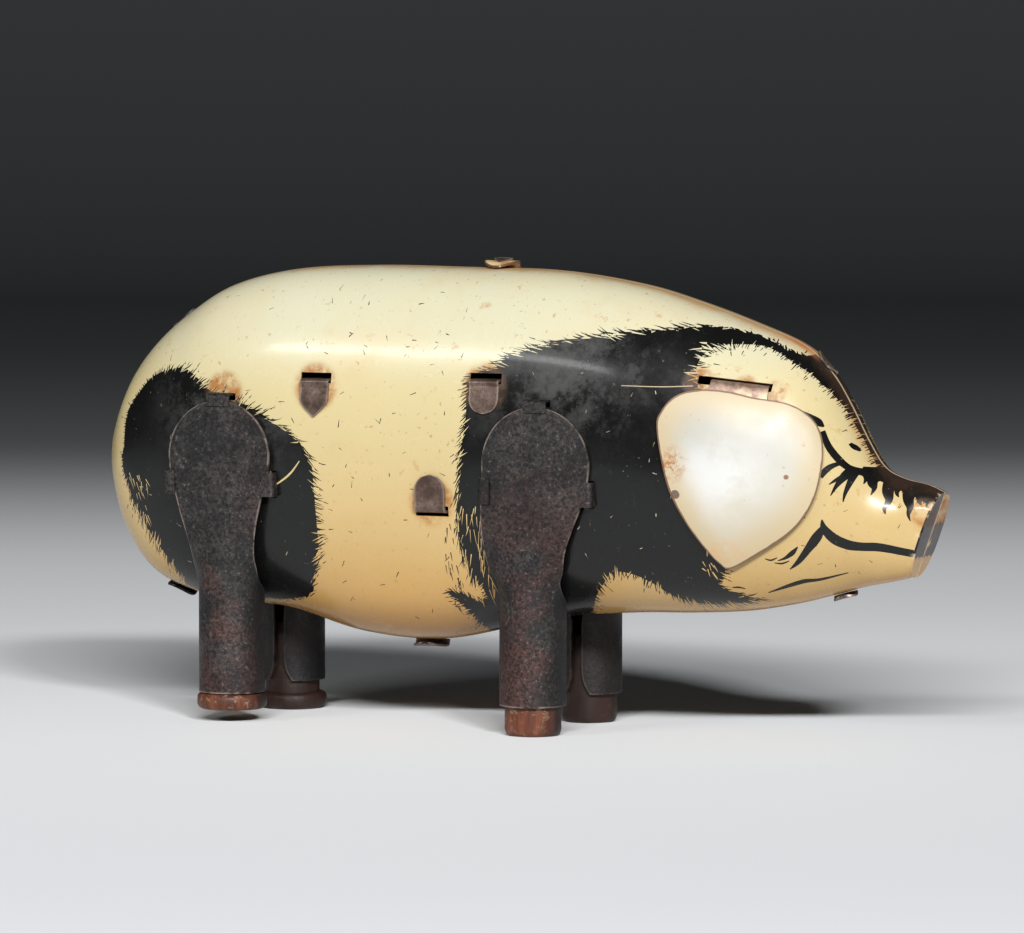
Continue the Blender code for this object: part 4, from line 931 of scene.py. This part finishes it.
def leg_grid(side, leg, columns=56):
    """The outer face of a leg: flat behind the pad, rolled round the tube below it."""
    pad_x, tube_x, _ = LEGS[leg]
    low, high = LEG_TAPER[leg][-1][0], PAD_Z
    grid = []
    for z, half, wrap in leg_rows(leg):
        radius = half / math.sin(min(wrap, math.pi / 2))
        shift = min(1.0, max(0.0, (high - z) / (high - low)))
        centre_x = pad_x + (tube_x - pad_x) * shift * shift * (3 - 2 * shift)
        angles = wrap * np.linspace(-1, 1, columns + 1)
        y = side * (LEG_FACE - radius * (1 - np.cos(angles)))
        grid.append(np.stack([centre_x + radius * np.sin(angles), y, np.full(columns + 1, z)], axis=1))
    return np.array(grid)


def bent_strip(path, width, origin, along, across, tip=None, side_bow=0.0, columns=9):
    """A grid for a bent sheet strip. The path's points are distances on the two axes in along; the strip
    is as wide as width across them, narrowed row by row by tip and bowed out in the middle by side_bow."""
    first, second = along
    u = np.linspace(-1, 1, columns)
    grid = []
    for k, (a, b) in enumerate(path):
        half = width / 2 * (1.0 if tip is None else tip[k])
        grid.append([origin + first * a + second * b + across * half * x + first * bow
                     for x, bow in zip(u, side_bow * (1 - u ** 2))])
    return np.array(grid)


def bend(start, turn_at, turn, radius, steps=8):
    """A path that runs straight from start to turn_at and then turns by an angle on a radius, in degrees."""
    start, corner = np.asarray(start, float), np.asarray(turn_at, float)
    way = (corner - start) / np.linalg.norm(corner - start)
    sign = math.copysign(1, turn)
    normal = np.array([-way[1], way[0]]) * sign
    centre = corner + normal * radius
    points = [tuple(start), tuple((start + corner) / 2)]
    for k in range(steps + 1):
        a = math.radians(abs(turn)) * k / steps
        points.append(tuple(centre - normal * radius * math.cos(a) + way * radius * math.sin(a)))
    return points


def oriented(points, faces):
    """The faces turned outwards, judged by the solid's volume."""
    volume = 0.0
    for face in faces:
        a = points[face[0]]
        for b, c in zip(face[1:], face[2:]):
            volume += np.dot(a, np.cross(points[b], points[c]))
    return faces if volume > 0 else [f[::-1] for f in faces]


def add_solids(name, solids, materials, body, stands_for, sharp_deg=40.0):
    """One piece from several solids, each (points, faces, each point's distance to the edge)."""
    points, faces = joined(*[(p, oriented(p, f)) for p, f, _ in solids])
    made = new_piece(name, points, faces, materials, body, stands_for, sharp_deg)
    set_attribute(made.data, "edge", np.concatenate([edge for _, _, edge in solids]))
    return made


def use_second_material(made, first):
    """Gives the piece's second material to its faces from the first one named."""
    indexes = [int(k >= first) for k in range(len(made.data.polygons))]
    made.data.polygons.foreach_set("material_index", indexes)


def make_leg(side_name, leg, steel):
    """A rolled sheet leg with the three tabs that go from its pad through the body."""
    side = SIDES[side_name]
    solids = [sheet_solid(leg_grid(side, leg), LEG_SHEET, flip=side > 0)]
    for direction, rise, reach in LEG_TABS[leg]:
        a = math.radians(direction)
        out = np.array([math.cos(a), 0, math.sin(a)])
        across = np.array([-math.sin(a), 0, math.cos(a)])
        inwards = np.array([0, -side, 0])
        origin = np.array([LEGS[leg][0], side * (LEG_FACE - 0.12), PAD_Z + rise])
        path = bend((reach - 1.2, 0.0), (reach + 0.55, 0.0), 90, 0.6)
        path += [(reach + 1.15, 3.0), (reach + 1.15, 5.4)]
        grid = bent_strip(path, LEG_TAB_W, origin, (out, inwards), across)
        points, faces, edge = sheet_solid(grid, LEG_TAB_SHEET, side < 0)
        solids.append((points, faces, edge + 1.0))
    add_solids(f"{side_name}_{leg}_leg_sheet", solids, [steel], "body",
               [f"{side_name}_{leg}_leg"])


def make_foot(side_name, leg, wood):
    """A turned foot: a plain peg in front, with a flange at the rear, and slightly out of round."""
    side = SIDES[side_name]
    lift = FOOT_LIFT if (side_name, leg) == ("right", "rear") else 0.0
    profile = [(r, z + lift) for r, z in FOOT_PROFILES[leg]]
    seed = 5 + side + 2 * (leg == "rear")
    points, faces = turned_solid(profile, (LEGS[leg][1], side * TUBE_Y), 72, 0.035, seed)
    new_piece(f"{side_name}_{leg}_foot_wood", points, faces, [wood], f"{side_name}_{leg}_foot",
              [f"{side_name}_{leg}_foot"], 45.0)


# ---------------------------------------------------------------- motor plates with their fixing tabs

def plate_solid(outline, y_low, y_high):
    count = len(outline)
    points = [(x, y_low, z) for x, z in outline] + [(x, y_high, z) for x, z in outline]
    faces = [tuple(range(count)), tuple(range(2 * count - 1, count - 1, -1))]
    faces += [((k + 1) % count, k, k + count, (k + 1) % count + count) for k in range(count)]
    return np.array(points, float), faces, np.full(2 * count, UNWORN)


def make_motor_plate(side_name, steel):
    """A plate of the motor with its three tabs, which pass through the shell and fold flat against it."""
    side = SIDES[side_name]
    out, across = np.array([0, side, 0]), np.array([1, 0, 0])
    solids = [plate_solid(PLATE_OUTLINE, *sorted(side * y for y in PLATE_FACES))]
    share = np.linspace(0, 1, 13)[1:]
    for x, z, fold, width, length, tip in FIXING_TABS:
        surface = float(half_width([x], [z + fold * 3.0])[0])
        path = bend((11.3, 0.0), (surface - 0.2, 0.0), 90, 0.85, 10)
        start = path[-1][1]
        outwards = [float(half_width([x], [z + fold * (length * s)])[0]) + 0.66 for s in share]
        flap = [(o, start + (length + SLOT_PLAY - start) * s) for o, s in zip(outwards, share)]
        past_half = [max(0.0, (s - 0.5) / 0.5) for s in share]
        if tip == "point":
            narrow = [max(0.04, 1 - p ** 1.5) for p in past_half]
        else:
            narrow = [max(0.04, math.sqrt(1 - p ** 2)) for p in past_half]
        grid = bent_strip(path + flap, width, np.array([x, 0, z - fold * SLOT_PLAY]),
                          (out, np.array([0, 0, fold])), across, [1.0] * len(path) + narrow, 0.0, 13)
        solids.append(sheet_solid(grid, FIXING_TAB_SHEET))
    add_solids(f"{side_name}_motor_frame", solids, [steel], "body",
               [f"motor_plate_{side_name}"])


# ---------------------------------------------------------------- ears

def ear_frame(side):
    """The middle of an ear's slot, the directions along it, out of the head and up, and its length."""
    start, end = (np.array((p.x, side * p.y, p.z)) for p in EAR_SLOT)
    length = np.linalg.norm(end - start)
    along = (end - start) / length
    across = np.cross((0, 0, 1), along)
    across /= np.linalg.norm(across)
    return (start + end) / 2, along, across * side, np.cross(along, across), length


def make_ear(side_name, printed, neck_finish):
    """A leaf that follows the side of the head, and its neck, bent through the slot."""
    side = SIDES[side_name]
    outline = closed_spline(EAR_OUTLINE, 8)
    outline = np.vstack([outline, outline[:1]])
    grid = []
    for share in np.concatenate([np.linspace(0.0, 0.9, 16), np.linspace(0.92, 1.0, 6)]):
        xz = np.array(EAR_CENTRE) + (outline - EAR_CENTRE) * max(share, 0.002)
        wave = 0.12 * np.sin(np.linspace(0, 6 * math.pi, len(xz))) * share ** 4
        lift = EAR_CLEARANCE + EAR_DOME * (1 - share ** 2) + wave * 0.6
        y = half_width(xz[:, 0], xz[:, 1]) + lift + 0.5
        grid.append(np.stack([xz[:, 0], side * y, xz[:, 1]], axis=1))
    normal = grid_normals(np.array(grid))[:, :-1]
    grid = np.array(grid)[:, :-1]
    rows, columns = grid.shape[:2]
    facing = np.sign(np.sum(normal[rows // 2, :, 1]) * side)
    inner = grid - normal * TIN * facing
    count = rows * columns
    faces = with_back(grid_faces(rows, columns, closed=True) + [tuple(range(columns))], count)
    last = (rows - 1) * columns
    for c in range(columns):
        here, there = last + c, last + (c + 1) % columns
        faces.append((here, here + count, there + count, there))
    reach = np.linalg.norm(grid - grid[-1], axis=2).reshape(-1)
    leaf = (np.vstack([grid.reshape(-1, 3), inner.reshape(-1, 3)]), faces, np.tile(reach, 2))
    middle, along, out, up, length = ear_frame(side)
    path = [(-5.0, -2.2), (-5.0, -1.0), (-4.7, -0.25), (-4.0, 0.0), (-2.0, 0.0), (0.3, 0.0), (0.8, -0.10),
            (1.2, -0.5), (1.55, -1.4), (1.9, -2.4), (2.2, -3.4)]
    neck_grid = bent_strip(path, length - 3.6, middle + along * 1.2, (out, up), along)
    made = add_solids(f"{side_name}_ear_leaf", [leaf, sheet_solid(neck_grid, NECK_SHEET, flip=side < 0)],
                      [printed, neck_finish], f"{side_name}_ear", [f"{side_name}_ear"], 50.0)
    use_second_material(made, len(faces))


# ---------------------------------------------------------------- seam tabs and key

def seam_frame(x, edge):
    """A point of the seam, and the directions along the seam and out of the body there."""
    rows = spline(STATIONS, np.linspace(0, LAST_STATION, 1601))
    rows = rows[:, :2] if edge == "top" else rows[:, 2:4]
    k = int(np.argmin(np.abs(rows[:, 0] - x)))
    way = rows[min(k + 2, len(rows) - 1)] - rows[max(k - 2, 0)]
    way = way / np.linalg.norm(way)
    up = 1 if edge == "top" else -1
    along = np.array([way[0], 0, way[1]])
    return np.array([rows[k][0], 0, rows[k][1]]), along, np.array([-along[2] * up, 0, along[0] * up])


def make_seam_tab(name, printed, steel):
    """A half-moon tongue of the far half folded over the near one; a printed one also bears an arrowhead."""
    x, edge, width = SEAM_TABS[name]
    depth, proud, finish = SEAM_TONGUES[name]
    at, along, out = seam_frame(x, edge)
    axes = (out, np.array([0, 1, 0]))
    share = np.sin(np.linspace(0, math.pi / 2, 15))
    heights = proud * (1 - 0.85 * share) + 0.30 * np.sin(share * math.pi)
    path = [(0.15, 1.2)] + [(h + 0.42, 0.8 - depth * s) for h, s in zip(heights, share)]
    narrow = [1.0] + list(np.maximum(np.sqrt(1 - share ** 2), 0.06))
    solids = [sheet_solid(bent_strip(path, width, at, axes, along, narrow, -0.10, 13), TIN)]
    plain_from = 0
    if finish == "cream":
        share = np.linspace(0, 1, 8)
        mark = [(heights[0] + 0.95 - 0.9 * s * proud, 0.9 - 0.62 * depth * s) for s in share]
        taper = np.maximum(1 - share, 0.05)
        solids.append(sheet_solid(bent_strip(mark, width * 0.56, at, axes, along, taper, 0.15), 0.55))
        plain_from = len(solids[0][1])
    made = add_solids(f"{name}_seam_tongue", solids, [printed, steel], "body",
                      [f"seam_tab_{name}"])
    use_second_material(made, plain_from)


def make_key(steel):
    """Butterfly key: a turned socket with a blind bore, and two flat rings with rounded edges."""
    low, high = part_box("winding_key")
    x0, z0 = (low + high).xz / 2 / MM
    y0, y1 = low.y / MM - SEAM_Y, high.y / MM - SEAM_Y
    profile = [(1.75, y0 + 5.5), (1.9, y0), (2.8, y0), (3.15, y0 + 0.25), (3.2, y0 + 0.9), (3.1, y0 + 4.0),
               (3.0, y1 - 1.2), (2.6, y1 - 0.3), (1.6, y1 - 0.05)]
    socket, faces = turned_solid(profile, (x0, z0), 48)
    solids = [(socket[:, [0, 2, 1]], faces)]
    major, section = 56, 14
    a, b = np.meshgrid(np.arange(major) * 2 * math.pi / major, np.arange(section) * 2 * math.pi / section,
                       indexing="ij")
    r = 4.95 * (1 + 0.06 * np.cos(2 * a)) + 1.6 * signed_power(np.cos(b), 0.6)
    faces = [tuple(i % a.size for i in face) for face in grid_faces(major + 1, section, closed=True)]
    for way in (-1, 1):
        ring = np.stack([x0 + way * (8.4 + r * np.cos(a)), y1 - 1.9 + 0.85 * signed_power(np.sin(b), 0.6),
                         z0 + r * np.sin(a)], axis=2)
        solids.append((ring.reshape(-1, 3), faces))
    solids = [(points, faces, np.full(len(points), UNWORN)) for points, faces in solids]
    add_solids("winding_key_cast", solids, [steel], "winding", ["winding_key"], 45.0)


# ---------------------------------------------------------------- the object

def build_object():
    printed, tin = printed_tin(), bare_tin()
    legs, tabs, wood = leg_steel(), tab_steel(), foot_wood()
    ear, neck = ear_tin(), neck_tin()
    steel, brass = mechanism_steel(), wheel_brass()
    for side_name in SIDES:
        make_shell(side_name, printed, tin)
        make_ear(side_name, ear, neck)
        make_motor_plate(side_name, tabs)
        for leg in LEGS:
            make_leg(side_name, leg, legs)
            make_foot(side_name, leg, wood)
    tongue = tongue_tin()
    for name in SEAM_TABS:
        make_seam_tab(name, tongue, legs if name in ("rump", "tail") else tabs)
    make_key(tabs)
    slots = {row["node"]: row["material_slot"] for row in frame["record"]["subparts"]}
    finish = {"mechanism_steel": steel, "wheel_brass": brass, "leg_steel": legs, "foot_wood": wood,
              "printed_tin": tabs, "ear_tin": ear}
    for name, node in frame["nodes"].items():
        node.data.materials.clear()
        node.data.materials.append(finish[slots[name]])


# ---------------------------------------------------------------- floor, light and camera

CAMERA_AZIMUTH, CAMERA_ELEVATION = 24.0, 4.0
CAMERA_DISTANCE = 1.46
CAMERA_TARGET = (-2.0, 0.0, 57.8)
CAMERA_LENS, CAMERA_SENSOR = 231.0, 36.0
BOX_ELEVATION, BOX_DISTANCE = 29.5, 1.9
FLANK_GLINT = (-12, -17, 84)                 # where the narrow light shows on the flank
GLINT_WAY = (-0.406, -0.796, 0.444)          # from there towards the narrow light


def direction(azimuth, elevation):
    """The way out at an azimuth, counted from -Y, and an elevation, in degrees."""
    a, e = math.radians(azimuth), math.radians(elevation)
    return Vector((math.sin(a) * math.cos(e), -math.cos(a) * math.cos(e), math.sin(e)))


def make_studio():
    """A pale floor that sweeps up behind the object; painted light falloff makes it darker towards the front
    and grows darker towards the back.
    """
    a = math.radians(CAMERA_AZIMUTH)
    back, right = Vector((-math.sin(a), math.cos(a), 0)), Vector((math.cos(a), math.sin(a), 0))
    flat = [-0.46, -0.3, -0.1, 0.0, 0.1] + [0.16 + 0.06 * k for k in range(34)]
    path = [(y, 0.0) for y in flat]
    sweep = np.radians(np.arange(10, 91, 10))
    path += [(flat[-1] + 0.4 * math.sin(t), 0.4 * (1 - math.cos(t))) for t in sweep]
    path.append((path[-1][0], 2.2))                # the top of the wall
    points = [tuple(right * x + back * y + Vector((0, 0, z))) for y, z in path for x in (-2.6, 2.6)]
    faces = [(2 * k, 2 * k + 1, 2 * k + 3, 2 * k + 2) for k in range(len(path) - 1)]
    mesh = bpy.data.meshes.new("studio_floor")
    mesh.from_pydata(points, [], faces)
    mesh.shade_smooth()
    floor = bpy.data.objects.new("studio_floor", mesh)
    bpy.context.scene.collection.objects.link(floor)
    set_attribute(mesh, "behind", [y for y, _ in path for _ in (0, 1)])
    s = Shader("studio_paper")
    behind = s.attribute("behind")
    # painted light falloff: the paper is darker towards the front and grows darker towards the back
    colour = s.mix(s.span(behind, -0.35, 0.10), (0.58, 0.595, 0.61), (0.86, 0.88, 0.90))
    colour = s.mix(s.span(behind, 0.40, 1.00), colour, (0.175, 0.183, 0.187))
    colour = s.mix(s.span(behind, 0.65, 1.70), colour, (0.078, 0.085, 0.088))
    s.finish(colour, 0.8)
    mesh.materials.append(s.material)


def area_light(name, place, target, size, power):
    light = bpy.data.lights.new(name, "AREA")
    light.shape = "RECTANGLE"
    light.size, light.size_y = size
    light.energy = power
    made = bpy.data.objects.new(name, light)
    made.location = place
    made.rotation_euler = (target - place).to_track_quat("-Z", "Y").to_euler()
    bpy.context.scene.collection.objects.link(made)


def make_lights():
    """A wide soft box in front, a smaller one to its right, and a narrow one for the glint on the flank."""
    centre = Vector(placed([(0, 0, 50)])[0])

    boxes = (("soft_box_wide", 5, 0.85, 34.0), ("soft_box_right", -16, 0.30, 24.0))
    for name, azimuth, width, power in boxes:
        place = centre + BOX_DISTANCE * direction(CAMERA_AZIMUTH - azimuth, BOX_ELEVATION)
        area_light(name, place, centre, (width, 0.14), power)
    flank = Vector(placed([FLANK_GLINT])[0])
    area_light("flank_strip", flank + Vector(GLINT_WAY).normalized(), flank, (0.34, 0.06), 1.8)
    world = bpy.data.worlds.new("studio_air")
    world.use_nodes = True
    background = world.node_tree.nodes["Background"]
    background.inputs["Color"].default_value = (0.94, 0.97, 1.0, 1.0)
    background.inputs["Strength"].default_value = 0.016
    bpy.context.scene.world = world


def make_camera():
    back = direction(CAMERA_AZIMUTH, CAMERA_ELEVATION)
    target = Vector(placed([CAMERA_TARGET])[0])
    data = bpy.data.cameras.new("camera")
    data.lens, data.sensor_width = CAMERA_LENS, CAMERA_SENSOR
    data.clip_start, data.clip_end = 0.05, 20
    camera = bpy.data.objects.new("camera", data)
    camera.location = target + back * CAMERA_DISTANCE
    camera.rotation_euler = (-back).to_track_quat("-Z", "Y").to_euler()
    bpy.context.scene.collection.objects.link(camera)
    bpy.context.scene.camera = camera


build_object()
make_studio()
make_lights()
make_camera()
bpy.context.scene.view_settings.view_transform = "Standard"
